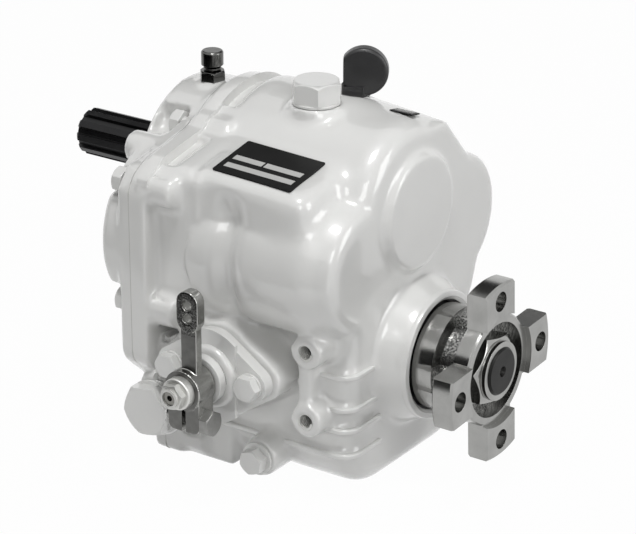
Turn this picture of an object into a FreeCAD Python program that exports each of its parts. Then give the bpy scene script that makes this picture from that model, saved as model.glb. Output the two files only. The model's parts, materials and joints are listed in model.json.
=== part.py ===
import FreeCAD, Part
import os
from math import acos, asin, atan2, cos, degrees, pi, radians, sin, sqrt, tan

# Marine gearbox: a small reversing and reduction gearbox for a boat engine.
# Frame: the origin is on the input shaft axis, in the plane of the face that
# bolts to the engine. X runs from the engine to the propeller, Z is up, and
# the shift lever stands on the -Y side. All sizes are in millimetres.

os.makedirs("parts", exist_ok=True)

# Gear train
gear_module = 3.0
pressure_angle = 20.0
forward_pinion_teeth = 18
forward_gear_teeth = 35
reverse_pinion_teeth = 15
reverse_gear_teeth = 32
idler_teeth = 18
gear_width = 20.0
gear_backlash = 0.2
gear_gap = 2.0

# Cases
cover_depth = 29.0
cover_flange = 8.0
lobe_depth = 21.0
lobe_edge = 5.0
gasket_thickness = 0.5
case_length = 120.0
case_flange = 10.0
wall = 4.5
rear_wall = 9.0
neck_radius = 48.6
dome_radius = 52.5
crown_radius = 48.0
crown_y = 5.0
crown_z = 6.5
dome_end_radius = 48.0
lobe_radius = 49.0
flange_half_width = 94.5
shoulder_inset = 6.5
deck_edge_height = 30.0
deck_tilt = 10.0
deck_fall = 2.2
sump_depth = 70.0
sump_half_width = 62.0
sump_corner = 34.0
sump_front_length = 42.0
case_bolt_radius = 4.0
case_bolt_ear = 9.5
case_bolt_flats = 13.0
case_bolt_head = 6.5
case_bolt_reach = 18.0
case_bolt_boss = 26.0
dowel_radius = 3.0
dowel_length = 14.0
rib_height = 2.2
rib_thickness = 2.6
rib_levels = ((-75.5, 20.0), (-94.5, 12.0), (-107.0, 14.0), (-121.8, 78.0))

# Engine interface
spigot_radius = 44.0
spigot_length = 4.0
engine_bolt_y = 53.0
engine_bolt_z = 22.5
engine_bolt_hole_radius = 4.25
engine_bolt_depth = 18.0
engine_bolt_boss = 9.0

# Input shaft
spline_radius = 13.5
spline_root_radius = 11.2
spline_teeth = 10
spline_length = 67.0
input_stick_out = 73.0
input_seal_radius = 14.0
input_seal_outer = 23.5
input_seal_width = 7.0
input_journal_radius = 15.0
input_cup_radius = 31.0
rear_input_journal = 12.5
rear_input_cup = 26.0
bearing_width = 16.0

# Output shaft
front_output_journal = 12.5
front_output_cup = 26.0
gear_journal = 16.0
needle_radius = 19.0
clutch_spline_radius = 19.0
clutch_spline_root = 16.5
clutch_spline_teeth = 8
rear_output_journal = 15.0
rear_output_cup = 31.0
flange_seat_radius = 14.4
output_thread_radius = 13.3
output_nut_flats = 36.0
output_nut_height = 8.4
output_nut_collar_height = 2.4
output_nut_turn = 20.0
output_nut_collar = 16.5
thrust_washer = 2.5
running_clearance = 0.05

# Double cone clutch
clutch_offset = 50.0
clutch_half_length = 19.0
cone_radius = 40.0
cone_angle = 12.0
cone_travel = 1.5
cone_gap = 0.08
cup_wall = 4.0
cup_depth = 16.0
groove_depth = 8.0
shift_pin_radius = 4.5
shift_pin_clearance = 0.1

# Output coupling
flange_face = 205.0
flange_radius = 50.8
flange_bolt_circle = 82.55
flange_hole_radius = 5.55
flange_arms = 4
flange_arm_width = 28.0
flange_arm_thickness = 12.5
flange_turn = 3.0
flange_ring_radius = 31.2
register_radius = 31.75
register_depth = 3.0
nut_recess_radius = 26.5
nut_recess_depth = 11.0
hub_ring_radius = 29.5
hub_ring_length = 13.0
hub_ring_overlap = 1.5
hub_neck_radius = 24.0
hub_rib_width = 15.0
seal_sleeve_radius = 22.5
output_seal_outer = 31.0
output_seal_width = 8.0
seal_boss_length = 18.0
seal_boss_radius = 36.0
seal_boss_flare = 56.0

# Selector on the lever side
lever_angle_limit = 30.0
cover_face_y = 91.0
cover_plate = 7.5
selector_bolt_spacing = 52.0
selector_bolt_radius = 4.0
selector_shaft_radius = 8.0
selector_sleeve_radius = 13.8
selector_sleeve_out = 11.0
selector_boss_radius = 18.0
selector_boss_height = 5.2
selector_step_radius = 27.0
selector_step_height = 1.6
lever_hub_radius = 11.4
lever_hub_length = 15.0
lever_arm_width = 9.8
lever_arm_thickness = 5.5
lever_arm_setback = 4.2
lever_arm_offset = 1.8
lever_head_width = 13.5
lever_head_length = 23.0
lever_head_thickness = 7.0
lever_length = 41.0
lever_hole_pitch = 7.2
lever_hole_radius = 3.0
lever_ear_half = 10.2
clamp_drop = 18.0
clamp_bolt_radius = 4.0
clamp_bolt_flats = 13.0
clamp_bolt_head = 5.5
clamp_slot = 2.4
end_washer_radius = 8.9
end_washer_thickness = 5.5
end_nut_flats = 13.0
end_nut_height = 4.5
end_stud_radius = 4.0

# Fittings
boss_spacing = 40.0
boss_radius = 9.6
boss_face_y = 77.0
boss_x = 130.3
boss_hole_radius = 4.25
boss_hole_depth = 16.0
filler_x = 92.0
filler_y = -10.0
filler_flats = 24.5
filler_head = 11.5
filler_boss_radius = 14.3
filler_thread_radius = 10.0
deck_top = 53.0
side_plug_x = 40.4
side_plug_z = -109.0
side_plug_flats = 27.0
side_plug_inset = 3.5
side_plug_thread = 9.0
drain_x = 99.8
drain_z = -129.4
drain_flats = 13.0
drain_thread = 5.0
drain_face_y = 77.0
breather_x = 18.5
breather_y = -4.0
dipstick_x = 97.0
dipstick_y = 19.2
dipstick_drop = 4.8
dipstick_collar_radius = 8.6
dipstick_collar_height = 1.6
blade_radius = 2.0
blade_clearance = 3.2
grip_radius = 13.5
grip_thickness = 8.5
grip_stem_radius = 7.2
grip_lift = 14.0
grip_offset = 5.0
grip_turn = 30.0
plate_length = 50.0
plate_width = 33.0
plate_thickness = 0.8
plate_from_joint = 40.0
plate_y = 73.9
small_plate_length = 14.0
small_plate_width = 8.0
small_plate_from_rear = 14.5
small_plate_y = 10.0
small_plate_tilt = 11.5


# Sizes that follow from the ones above

def pitch_radius(teeth):
    return gear_module * teeth / 2


def tip_radius(teeth):
    return pitch_radius(teeth) + 0.95 * gear_module


centre_distance = pitch_radius(forward_pinion_teeth) + pitch_radius(forward_gear_teeth)
output_z = -centre_distance
idler_to_input = pitch_radius(reverse_pinion_teeth) + pitch_radius(idler_teeth)
idler_to_output = pitch_radius(reverse_gear_teeth) + pitch_radius(idler_teeth)
idler_z = (idler_to_output ** 2 - idler_to_input ** 2 - centre_distance ** 2) / (2 * centre_distance)
idler_y = sqrt(idler_to_input ** 2 - idler_z ** 2)
joint_x = cover_depth
case_x0 = joint_x + gasket_thickness
case_x1 = case_x0 + case_length
cavity_x1 = case_x1 - rear_wall
clutch_x = case_x0 + clutch_offset
forward_x0 = clutch_x - 45.0
forward_x1 = forward_x0 + gear_width
reverse_x1 = clutch_x + 45.0
reverse_x0 = reverse_x1 - gear_width
rear_boss_x = reverse_x1 + 3.5
front_bearing_x = input_seal_width + 2.0
barrel_radius = tip_radius(forward_gear_teeth) + gear_gap + wall
idler_lobe_radius = tip_radius(idler_teeth) + gear_gap + wall
idler_pin_radius = 10.0
idler_bush_radius = 13.0
shoulder_half_width = flange_half_width - shoulder_inset
side_plug_face_y = flange_half_width - side_plug_inset
sump_z = output_z - sump_depth
seal_boss_x = case_x1 + seal_boss_length
pad_face_y = cover_face_y - cover_plate
rear_bearing_x = rear_boss_x + 2.0
output_seal_x = seal_boss_x - output_seal_width - 4.0
dipstick_seat = deck_top - dipstick_drop

O = FreeCAD.Vector(0, 0, 0)
X = FreeCAD.Vector(1, 0, 0)
Y = FreeCAD.Vector(0, 1, 0)
Z = FreeCAD.Vector(0, 0, 1)


# Shape helpers

def vec(x, y, z):
    return FreeCAD.Vector(x, y, z)


def fuse(shapes):
    shapes = list(shapes)
    return shapes[0].multiFuse(shapes[1:]).removeSplitter() if len(shapes) > 1 else shapes[0]


def cylinder_x(x0, x1, radius, y=0.0, z=0.0):
    return Part.makeCylinder(radius, x1 - x0, vec(x0, y, z), X)


def cylinder_y(y0, y1, radius, x, z):
    return Part.makeCylinder(radius, y1 - y0, vec(x, y0, z), Y)


def cylinder_z(z0, z1, radius, x, y):
    return Part.makeCylinder(radius, z1 - z0, vec(x, y, z0), Z)


def ring_x(x0, x1, inner, outer, y=0.0, z=0.0):
    return cylinder_x(x0, x1, outer, y, z).cut(cylinder_x(x0 - 1, x1 + 1, inner, y, z))


def box(x0, x1, y0, y1, z0, z1):
    return Part.makeBox(x1 - x0, y1 - y0, z1 - z0, vec(x0, y0, z0))


def rounded_wire(corners, place):
    # corners are (a, b, radius) in a plane, and place turns (a, b) into a point
    count = len(corners)
    points = [FreeCAD.Vector(a, b, 0) for a, b, radius in corners]
    edges = []
    starts = []
    ends = []
    mids = []
    for i in range(count):
        here = points[i]
        radius = corners[i][2]
        before = (points[i - 1] - here).normalize()
        after = (points[(i + 1) % count] - here).normalize()
        half = acos(max(-1.0, min(1.0, before.dot(after)))) / 2
        if radius <= 0:
            starts.append(here)
            ends.append(here)
            mids.append(None)
            continue
        reach = radius / tan(half)
        centre = here + (before + after).normalize() * (radius / sin(half))
        starts.append(here + before * reach)
        ends.append(here + after * reach)
        mids.append(centre + (here - centre).normalize() * radius)
    for i in range(count):
        if mids[i] is not None:
            arc = Part.Arc(place(starts[i]), place(mids[i]), place(ends[i]))
            edges.append(arc.toShape())
        nxt = starts[(i + 1) % count]
        if (nxt - ends[i]).Length > 1e-6:
            edges.append(Part.LineSegment(place(ends[i]), place(nxt)).toShape())
    return Part.Wire(edges)


def prism_x(corners, x0, x1):
    wire = rounded_wire(corners, lambda p: vec(x0, p.x, p.y))
    return Part.Face(wire).extrude(vec(x1 - x0, 0, 0))


def prism_y(corners, y0, y1):
    wire = rounded_wire(corners, lambda p: vec(p.x, y0, p.y))
    return Part.Face(wire).extrude(vec(0, y1 - y0, 0))


def prism_z(corners, z0, z1):
    wire = rounded_wire(corners, lambda p: vec(p.x, p.y, z0))
    return Part.Face(wire).extrude(vec(0, 0, z1 - z0))


def turned_x(profile, y=0.0, z=0.0):
    # profile is a closed list of (x, radius) pairs
    points = [vec(x, 0, radius) for x, radius in profile]
    face = Part.Face(Part.makePolygon(points + [points[0]]))
    solid = face.revolve(O, X, 360)
    solid.translate(vec(0, y, z))
    return solid


def edge_at(solid, test):
    return [edge for edge in solid.Edges if test(edge)]


def round_rear(solid, x, radius):
    # rounds every edge that lies in the plane at x
    edges = edge_at(solid, lambda e: abs(e.BoundBox.XMin - x) < 1e-3 and abs(e.BoundBox.XMax - x) < 1e-3)
    return solid.makeFillet(radius, edges)


def hexagon(flats, height, base, axis, turn=0.0):
    radius = flats / sqrt(3)
    side = Part.makeCylinder(radius, height, base, axis)
    placement = FreeCAD.Placement(base, FreeCAD.Rotation(Z, axis))
    points = []
    for i in range(7):
        a = radians(60 * i + turn)
        points.append(placement.multVec(vec(radius * cos(a), radius * sin(a), 0)))
    prism = Part.Face(Part.makePolygon(points)).extrude(axis * height)
    chamfer = flats * 0.07
    cone_radius_top = flats / 2 * 0.96
    crown = Part.makeCone(radius + chamfer * 2, cone_radius_top, height, base, axis)
    low = Part.makeCylinder(radius, height - chamfer, base, axis)
    top = Part.makeCone(radius, cone_radius_top, chamfer, base + axis * (height - chamfer), axis)
    return prism.common(low.fuse(top))


def save(name, shape):
    shape.exportStep("parts/" + name + ".step")


# Gears

def involute(angle):
    return tan(angle) - angle


def gear_outline(teeth):
    pitch = pitch_radius(teeth)
    alpha = radians(pressure_angle)
    base = pitch * cos(alpha)
    tip = tip_radius(teeth)
    root = pitch - 1.2 * gear_module
    half_tooth = pi / (2 * teeth) - gear_backlash / (4 * pitch)
    low = max(base, root + 0.25 * gear_module)
    flank = []
    for share in (0.0, 0.4, 0.75, 1.0):
        radius = low + (tip - low) * share
        roll = acos(min(1.0, base / radius))
        flank.append((radius, half_tooth + involute(alpha) - involute(roll)))
    root_angle = flank[0][1]
    outline = [(root, -root_angle)]
    outline += [(radius, -angle) for radius, angle in flank]
    outline += [(radius, angle) for radius, angle in reversed(flank)]
    outline.append((root, root_angle))
    return outline


def gear_blank(teeth, x0, x1, y, z, tooth_angle):
    # tooth_angle, in degrees from +Y towards +Z, is where one tooth stands
    outline = gear_outline(teeth)
    points = []
    for i in range(teeth):
        turn = radians(tooth_angle) + 2 * pi * i / teeth
        for radius, angle in outline:
            a = turn + angle
            points.append(vec(x0, y + radius * cos(a), z + radius * sin(a)))
    points.append(points[0])
    return Part.Face(Part.makePolygon(points)).extrude(vec(x1 - x0, 0, 0))


def meshed_angle(teeth, line_angle, other_teeth, other_angle):
    # angle of one tooth of a gear that meshes with another gear: line_angle
    # points from the other gear to this one
    pitch = 360.0 / other_teeth
    offset = ((other_angle - line_angle) / pitch) % 1.0
    return line_angle + 180.0 + (0.5 - offset) * 360.0 / teeth


def spline_bar(x0, x1, outer, root, teeth, y=0.0, z=0.0, share=0.5):
    points = []
    half = share * pi / teeth
    for i in range(teeth):
        a = 2 * pi * i / teeth
        for radius, angle in ((root, -half * 1.12), (outer, -half * 0.9), (outer, half * 0.9), (root, half * 1.12)):
            points.append(vec(x0, y + radius * cos(a + angle), z + radius * sin(a + angle)))
    points.append(points[0])
    return Part.Face(Part.makePolygon(points)).extrude(vec(x1 - x0, 0, 0))


# Case bolts stand on both sides of the middle plane

def case_bolt_places():
    side_y = flange_half_width - case_bolt_ear - 1.0
    foot_z = sump_z + case_bolt_ear
    half = [
        (side_y, deck_edge_height - 14.0),
        (side_y, idler_z - 33.0),
        (33.0, 33.0),
        (sump_half_width - 4.0, foot_z + 2.0),
        (20.0, foot_z),
    ]
    return half + [(-y, z) for y, z in half]


def dowel_places():
    y = flange_half_width - 7.0
    return [(-y, idler_z), (y, idler_z - 14.0)]


def mirrored(half):
    # half is a list of corners with y > 0 from the top down
    return half + [(-y, z, radius) for y, z, radius in reversed(half)]


def deck_z(y):
    # height of the flat deck that slopes down to the outside
    return deck_edge_height + (shoulder_half_width - 8.0 - y) * tan(radians(deck_tilt))


def joint_outline():
    w = flange_half_width
    foot = sump_half_width + 5.0
    return mirrored([
        (28.0, deck_z(28.0) + 1.0, 6.0),
        (60.0, deck_edge_height, 6.0),
        (w - 9.0, deck_edge_height - 4.0, 6.0),
        (w, deck_edge_height - 15.0, 6.0),
        (w, output_z - 3.0, 12.0),
        (w - 15.0, output_z - 17.0, 10.0),
        (foot, output_z - 30.0, 10.0),
        (foot, sump_z, 6.0),
    ])


# Front cover

def lobe_outline(inset):
    w = flange_half_width - inset
    radius = lobe_radius - inset
    return mirrored([(w, idler_z + radius, radius), (w, idler_z - radius, radius * 0.99)])


def front_cover():
    neck = turned_x([(-spigot_length, 0), (-spigot_length, spigot_radius), (0, spigot_radius), (0, neck_radius),
                     (joint_x, neck_radius + 1.2), (joint_x, 0)])
    lobe_x = joint_x - lobe_depth
    lobes = round_rear(prism_x(lobe_outline(0.0), lobe_x, joint_x), lobe_x, lobe_edge)
    flange = prism_x(joint_outline(), joint_x - cover_flange, joint_x)
    bearing_boss = round_rear(cylinder_x(4.0, joint_x, front_output_cup + 6.0, 0, output_z), 4.0, 3.0)
    body = fuse([neck, lobes, flange, bearing_boss])
    inset = 2 * case_bolt_ear + wall + 1.0
    room = prism_x(lobe_outline(inset), lobe_x + wall, joint_x + 1)
    inner = [cylinder_x(0.5, joint_x, input_cup_radius + 6.0), cylinder_x(4.5, joint_x, front_output_cup + 6.0, 0, output_z)]
    body = body.cut(room.cut(fuse(inner)))
    bosses = [cylinder_x(0, joint_x, engine_bolt_boss, a * engine_bolt_y, b * engine_bolt_z)
              for a in (-1, 1) for b in (-1, 1)]
    seats = [cylinder_x(-1, joint_x - cover_flange, case_bolt_ear, y, z) for y, z in case_bolt_places()]
    body = body.cut(fuse(seats))
    body = fuse([body] + bosses)
    breather_boss = cylinder_z(neck_radius - 8, neck_radius + 1.5, 8.0, breather_x, breather_y)
    body = body.fuse(breather_boss.common(box(0, joint_x, -20, 20, 0, 100)))
    tools = [
        cylinder_x(-10, input_seal_width, input_seal_outer),
        cylinder_x(input_seal_width - 1, front_bearing_x + 1, input_seal_outer - 3.0),
        cylinder_x(front_bearing_x, 40, input_cup_radius),
        cylinder_x(front_bearing_x, 40, front_output_cup, 0, output_z),
        cylinder_x(front_bearing_x - gear_gap, 40, front_output_cup - 6.0, 0, output_z),
        cylinder_z(input_cup_radius, neck_radius + 10, 3.5, breather_x, breather_y),
    ]
    body = body.cut(fuse(tools))
    for a in (-1, 1):
        for b in (-1, 1):
            body = body.cut(cylinder_x(-1, engine_bolt_depth, engine_bolt_hole_radius, a * engine_bolt_y, b * engine_bolt_z))
    holes = [cylinder_x(0, 40, case_bolt_radius + 0.4, y, z) for y, z in case_bolt_places()]
    holes += [cylinder_x(joint_x - dowel_length / 2, 40, dowel_radius, y, z) for y, z in dowel_places()]
    return body.cut(fuse(holes))


# Main case

def case_cavity(x0):
    deep = barrel_radius - wall
    side = idler_lobe_radius - wall
    shoulder = shoulder_half_width - wall - 3.0
    parts = [
        cylinder_x(x0, cavity_x1, dome_end_radius - wall - 1.0),
        cylinder_x(x0, cavity_x1, deep, 0, output_z),
        cylinder_x(x0, cavity_x1, side, idler_y, idler_z),
        cylinder_x(x0, cavity_x1 - 6, side, -idler_y, idler_z),
        prism_x(mirrored([(deep - 3, idler_z, 0), (deep - 3, output_z, 0)]), x0, cavity_x1),
        prism_x(mirrored([(shoulder, deck_edge_height - 22.0, 10.0), (shoulder, output_z + 30, 10.0)]),
                x0, case_x0 + 30.0),
        prism_x(mirrored([(sump_half_width - wall, output_z, 0), (sump_half_width - wall, sump_z + wall, sump_corner - wall)]),
                x0, cavity_x1 - 3),
    ]
    return fuse(parts)


def case_outer():
    dome = turned_x([(case_x0, 0), (case_x0, dome_radius - 2.0), (case_x0 + 22, dome_radius - 0.8),
                     (case_x0 + 60, dome_radius - 1.0), (case_x1, dome_end_radius + 2), (case_x1, 0)])
    dome = round_rear(dome, case_x1, 12.0)
    crown_end = case_x1 - 3.0
    hump = turned_x([(case_x0 + 10, 0), (case_x0 + 10, crown_radius - 2), (case_x0 + 25, crown_radius),
                     (case_x0 + 70, crown_radius - 1), (crown_end, crown_radius - 5), (crown_end, 0)], crown_y, crown_z)
    hump = round_rear(hump, crown_end, 10.0)
    lobes = [round_rear(cylinder_x(case_x0, case_x1, idler_lobe_radius + grow, a * idler_y, idler_z), case_x1, edge)
             for a, edge, grow in ((-1, 8.0, 0.0), (1, 4.0, 1.0))]
    barrel = round_rear(cylinder_x(case_x0, case_x1, barrel_radius, 0, output_z), case_x1, 10.0)
    waist = prism_x(mirrored([(barrel_radius - 3, idler_z, 0), (barrel_radius - 3, output_z, 0)]), case_x0, case_x1)
    waist = round_rear(waist, case_x1, 8.0)
    side = idler_y + 24.5
    web = prism_x([(0.0, dome_end_radius - 5.0, 0), (dome_end_radius - 17.0, dome_end_radius - 5.0, 8.0),
                   (idler_y + 12.6, idler_z + 32.8, 0), (side, idler_z - 24.0, 0),
                   (side - 7.5, output_z + 14.0, 8.0), (barrel_radius - 8.0, output_z, 0), (0.0, output_z, 0)],
                  case_x0, case_x1)
    web = round_rear(web, case_x1, 4.0)
    front_sump = prism_x(mirrored([(sump_half_width, output_z, 0), (sump_half_width, sump_z, 4.0)]),
                         case_x0, case_x0 + sump_front_length)
    rear_sump = prism_x(mirrored([(sump_half_width, output_z, 0), (sump_half_width, sump_z, sump_corner)]),
                        case_x0, case_x1)
    rear_sump = round_rear(rear_sump, case_x1, 14.0)
    s = shoulder_half_width - 4.0
    deck = prism_x([(-12.0, deck_z(12.0), 0), (-s, deck_z(s), 9.0), (-s, output_z + 22, 12.0),
                    (-12.0, output_z, 0)], case_x0 - 6.0, case_x0 + 40.0)
    deck = sloped(round_rear(deck, case_x0 + 40.0, 8.0))
    t = s - 4.0
    rear_deck = prism_x([(-12.0, deck_z(12.0), 0), (-t, deck_z(t), 8.0), (-t, idler_z, 12.0),
                         (-12.0, idler_z, 0)], case_x0 - 6.0, case_x1 - 17.0)
    rear_deck = sloped(round_rear(rear_deck, case_x1 - 17.0, 7.5))
    far_deck = prism_x([(12.0, deck_z(12.0) - 4.0, 0), (s, deck_edge_height - 6.0, 9.0), (s, output_z + 22, 12.0),
                        (12.0, output_z, 0)], case_x0, case_x0 + 30.0)
    far_deck = round_rear(far_deck, case_x0 + 30.0, 9.0)
    flange = prism_x(joint_outline(), case_x0, case_x0 + case_flange)
    crown = cylinder_x(case_x0, case_x0 + case_flange, dome_radius)
    return fuse([dome, hump, lobes[0], lobes[1], barrel, waist, web, front_sump, rear_sump, deck, rear_deck, far_deck,
                 flange, crown])


def sloped(shape):
    # lets a deck fall towards the rear, and trims it at the joint face
    shape.rotate(vec(case_x0, 0, deck_edge_height), Y, deck_fall)
    return shape.cut(box(case_x0 - 40.0, case_x0, -200, 200, -300, 100))


def ribs():
    # level ribs that wrap the rear corner on the lever side
    edge = -sump_half_width - rib_height
    inner = -sump_half_width + 3.0
    rear = case_x1 + rib_height - 1.0
    shapes = []
    for level, length in rib_levels:
        x0 = case_x1 - length
        rib = prism_z([(x0, inner, 0), (x0, edge, 1.5), (rear, edge, 11.0), (rear, edge + 26.0, 0),
                       (case_x1 - 4.0, edge + 26.0, 0), (case_x1 - 4.0, inner, 0)],
                      level - rib_thickness / 2, level + rib_thickness / 2)
        shapes.append(rib)
    return shapes


def seal_boss():
    top = case_x1 + 14.0
    profile = [(case_x1 - 6, 0), (case_x1 - 6, seal_boss_flare / 2 + 14), (case_x1 + 3.5, seal_boss_radius + 5.0),
               (top, seal_boss_radius), (seal_boss_x - 1, seal_boss_radius), (seal_boss_x, seal_boss_radius - 1),
               (seal_boss_x, 0)]
    return turned_x(profile, 0, output_z)


def selector_pad():
    return prism_y(diamond(3.0), -pad_face_y, -barrel_radius + wall)


def diamond(grow):
    # corners of the shift cover outline in X and Z
    ear = case_bolt_ear + grow
    slope = radians(34.0)
    a = selector_bolt_spacing / 2 + ear / sin(slope)
    b = a * tan(slope)
    return [(clutch_x + a, output_z, ear), (clutch_x, output_z + b, 18.0 + grow),
            (clutch_x - a, output_z, ear), (clutch_x, output_z - b, 18.0 + grow)]


def main_case():
    body = case_outer().cut(case_cavity(case_x0 - 5))
    add = [seal_boss(), selector_pad()] + ribs()
    for y, z in case_bolt_places():
        boss = cylinder_x(case_x0, case_x0 + case_bolt_boss, case_bolt_ear - 0.5, y, z)
        add.append(round_rear(boss, case_x0 + case_bolt_boss, 3.0))
    add.append(cylinder_x(rear_boss_x, case_x1, rear_input_cup + 5.0))
    add.append(cylinder_x(case_x1 - 2, case_x1 + 4.5, 32.0))
    add.append(cylinder_x(rear_boss_x, case_x1 - 1, rear_output_cup + 4.0, 0, output_z))
    add.append(cylinder_x(rear_boss_x, case_x1 - 1, 16.0, idler_y, idler_z))
    inside = -barrel_radius + wall
    for a in (-1, 1):
        add.append(cylinder_y(-boss_face_y, inside, boss_radius, boss_x, output_z + a * boss_spacing / 2))
    web_x = boss_x - 3.0
    add.append(box(web_x - 4, web_x + 4, -boss_face_y + 3, inside, output_z - boss_spacing / 2,
                   output_z + boss_spacing / 2))
    plug_boss = cylinder_y(-side_plug_face_y, -sump_half_width + 2, side_plug_flats * 0.66, side_plug_x, side_plug_z)
    add.append(plug_boss.common(box(case_x0 + 1, case_x1, -100, 0, sump_z, 0)))
    add.append(cylinder_y(-drain_face_y, -40.0, drain_flats * 0.85, drain_x, drain_z))
    add.append(cylinder_z(dome_end_radius - 5, deck_top, filler_boss_radius, filler_x, filler_y))
    add.append(cylinder_z(dome_end_radius - 12, dipstick_seat, dipstick_collar_radius + 1.5, dipstick_x, dipstick_y))
    body = fuse([body] + add)
    bearing_end = rear_bearing_x + bearing_width
    tools = [
        cylinder_x(case_x0 - 5, reverse_x1 + gear_gap, barrel_radius - wall, 0, output_z),
        cylinder_z(deck_top, deck_top + 20, filler_boss_radius - 0.5, filler_x, filler_y),
        cylinder_z(dipstick_seat, dipstick_seat + 20, dipstick_collar_radius + 1.5, dipstick_x, dipstick_y),
        cylinder_x(rear_boss_x - 1, bearing_end, rear_input_cup),
        cylinder_x(rear_boss_x - 1, bearing_end + gear_gap, rear_input_cup - 6.0),
        cylinder_x(rear_boss_x - 1, bearing_end, rear_output_cup, 0, output_z),
        cylinder_x(rear_boss_x, seal_boss_x + 1, rear_output_cup - 4.0, 0, output_z),
        cylinder_x(output_seal_x - 0.5, seal_boss_x + 1, output_seal_outer, 0, output_z),
        cylinder_x(rear_boss_x - 1, case_x1 - 3.5, idler_pin_radius, idler_y, idler_z),
        cylinder_y(-pad_face_y - 1, -40.0, selector_sleeve_radius, clutch_x, output_z),
        cylinder_y(-side_plug_face_y - 1, -50.0, side_plug_thread, side_plug_x, side_plug_z),
        cylinder_y(-drain_face_y - 1, -45.0, drain_thread, drain_x, drain_z),
        cylinder_z(40, deck_top + 1, filler_thread_radius, filler_x, filler_y),
        dipstick_rod(blade_radius + 0.8, 40.0, 20.0),
        small_plate_block(6.0, 0.6),
    ]
    body = body.cut(fuse(tools))
    small = []
    for a in (-1, 1):
        z = output_z + a * boss_spacing / 2
        small.append(cylinder_y(-boss_face_y - 1, -boss_face_y + boss_hole_depth, boss_hole_radius, boss_x, z))
        x = clutch_x + a * selector_bolt_spacing / 2
        small.append(cylinder_y(-pad_face_y - 1, -pad_face_y + 16.0, selector_bolt_radius, x, output_z))
    for y, z in case_bolt_places():
        small.append(cylinder_x(case_x0 - 1, case_x0 + case_bolt_reach + 1, case_bolt_radius, y, z))
    for y, z in dowel_places():
        small.append(cylinder_x(case_x0 - 1, joint_x + dowel_length / 2, dowel_radius, y, z))
    return body.cut(fuse(small))


def dipstick_lean():
    # the blade leans just enough to pass beside the cup of the reverse gear
    rise = dipstick_seat - output_z
    miss = cup_profile(reverse_x0, -1)[1] + cup_wall + blade_radius + blade_clearance
    return asin(miss / sqrt(rise ** 2 + dipstick_y ** 2)) - atan2(dipstick_y, rise)


def dipstick_axis():
    a = dipstick_lean()
    return vec(0, sin(a), -cos(a))


def dipstick_rod(radius, below, above):
    axis = dipstick_axis()
    top = vec(dipstick_x, dipstick_y, dipstick_seat)
    return Part.makeCylinder(radius, below + above, top - axis * above, axis)


# Joint parts of the case

def case_gasket():
    sheet = prism_x(joint_outline(), joint_x, case_x0)
    sheet = fuse([sheet, cylinder_x(joint_x, case_x0, dome_radius - 2.0)])
    sheet = sheet.cut(case_cavity(joint_x - 5))
    holes = [cylinder_x(joint_x - 1, case_x0 + 1, case_bolt_radius + 0.4, y, z) for y, z in case_bolt_places()]
    holes += [cylinder_x(joint_x - 1, case_x0 + 1, dowel_radius + 0.2, y, z) for y, z in dowel_places()]
    solids = sheet.cut(fuse(holes)).Solids
    return max(solids, key=lambda solid: solid.Volume)


def hex_bolt(flats, head, shank, length, base, axis):
    # base is the middle of the face under the head, and axis points out of the head
    bolt = hexagon(flats, head, base, axis)
    return bolt.fuse(Part.makeCylinder(shank, length, base, axis * -1))


def case_bolts():
    seat = joint_x - cover_flange
    grip = cover_flange + gasket_thickness + case_bolt_reach - 2.0
    return Part.makeCompound([hex_bolt(case_bolt_flats, case_bolt_head, case_bolt_radius, grip, vec(seat, y, z), X * -1)
                              for y, z in case_bolt_places()])


def dowel_pins():
    return Part.makeCompound([cylinder_x(joint_x - dowel_length / 2, joint_x + dowel_length / 2, dowel_radius, y, z)
                              for y, z in dowel_places()])


# Tapered roller bearings. side is +1 where the thin end points to +X

def taper_sizes(bore, outer):
    room = outer - bore
    return bore + 0.31 * room, bore + 0.73 * room


def taper_cup(bore, outer, x0, side, z):
    inner, race = taper_sizes(bore, outer)
    rise = bearing_width / 2 * tan(radians(12.0))
    wide = race + rise
    thin = race - rise
    x1 = x0 + bearing_width
    a, b = (wide, thin) if side > 0 else (thin, wide)
    return turned_x([(x0, outer), (x0, a), (x1, b), (x1, outer)], 0, z)


def taper_cone(bore, outer, x0, side, z):
    inner, race = taper_sizes(bore, outer)
    tilt = radians(11.0)
    middle = (inner + race) / 2
    roller = (race - inner) / 2 * cos(tilt) - 0.12
    length = bearing_width * 0.62
    x1 = x0 + bearing_width
    rise = bearing_width / 2 * tan(radians(10.0))
    a, b = (inner + rise, inner - rise) if side > 0 else (inner - rise, inner + rise)
    ring = turned_x([(x0, bore), (x0, a), (x1, b), (x1, bore)], 0, z)
    count = int(2 * pi * middle / (2.7 * roller))
    solids = [ring]
    xm = (x0 + x1) / 2
    axis = vec(-side * cos(tilt), 0, sin(tilt))
    start = vec(xm, 0, middle) - axis * (length / 2)
    one = Part.makeCone(roller * 0.95, roller * 1.03, length, start, axis)
    for i in range(count):
        copy = one.copy()
        copy.rotate(O, X, 360.0 * i / count)
        copy.translate(vec(0, 0, z))
        solids.append(copy)
    return Part.makeCompound(solids)


def lip_seal(x0, width, inner, outer, z):
    lip = inner + running_clearance
    profile = [(x0, outer), (x0 + width, outer), (x0 + width, outer - 1.5), (x0 + 2, outer - 1.5), (x0 + 2, inner + 3),
               (x0 + width - 1, inner + 2), (x0 + width - 1.5, lip), (x0 + width - 2.5, lip), (x0 + 1, inner + 1.2),
               (x0, inner + 1.8)]
    return turned_x(profile, 0, z)


# Input shaft with its two pinions

mesh_angle = 0.0
to_output = -90.0
to_idler = degrees(atan2(idler_z, idler_y))
idler_to_reverse = degrees(atan2(output_z - idler_z, -idler_y))


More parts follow.
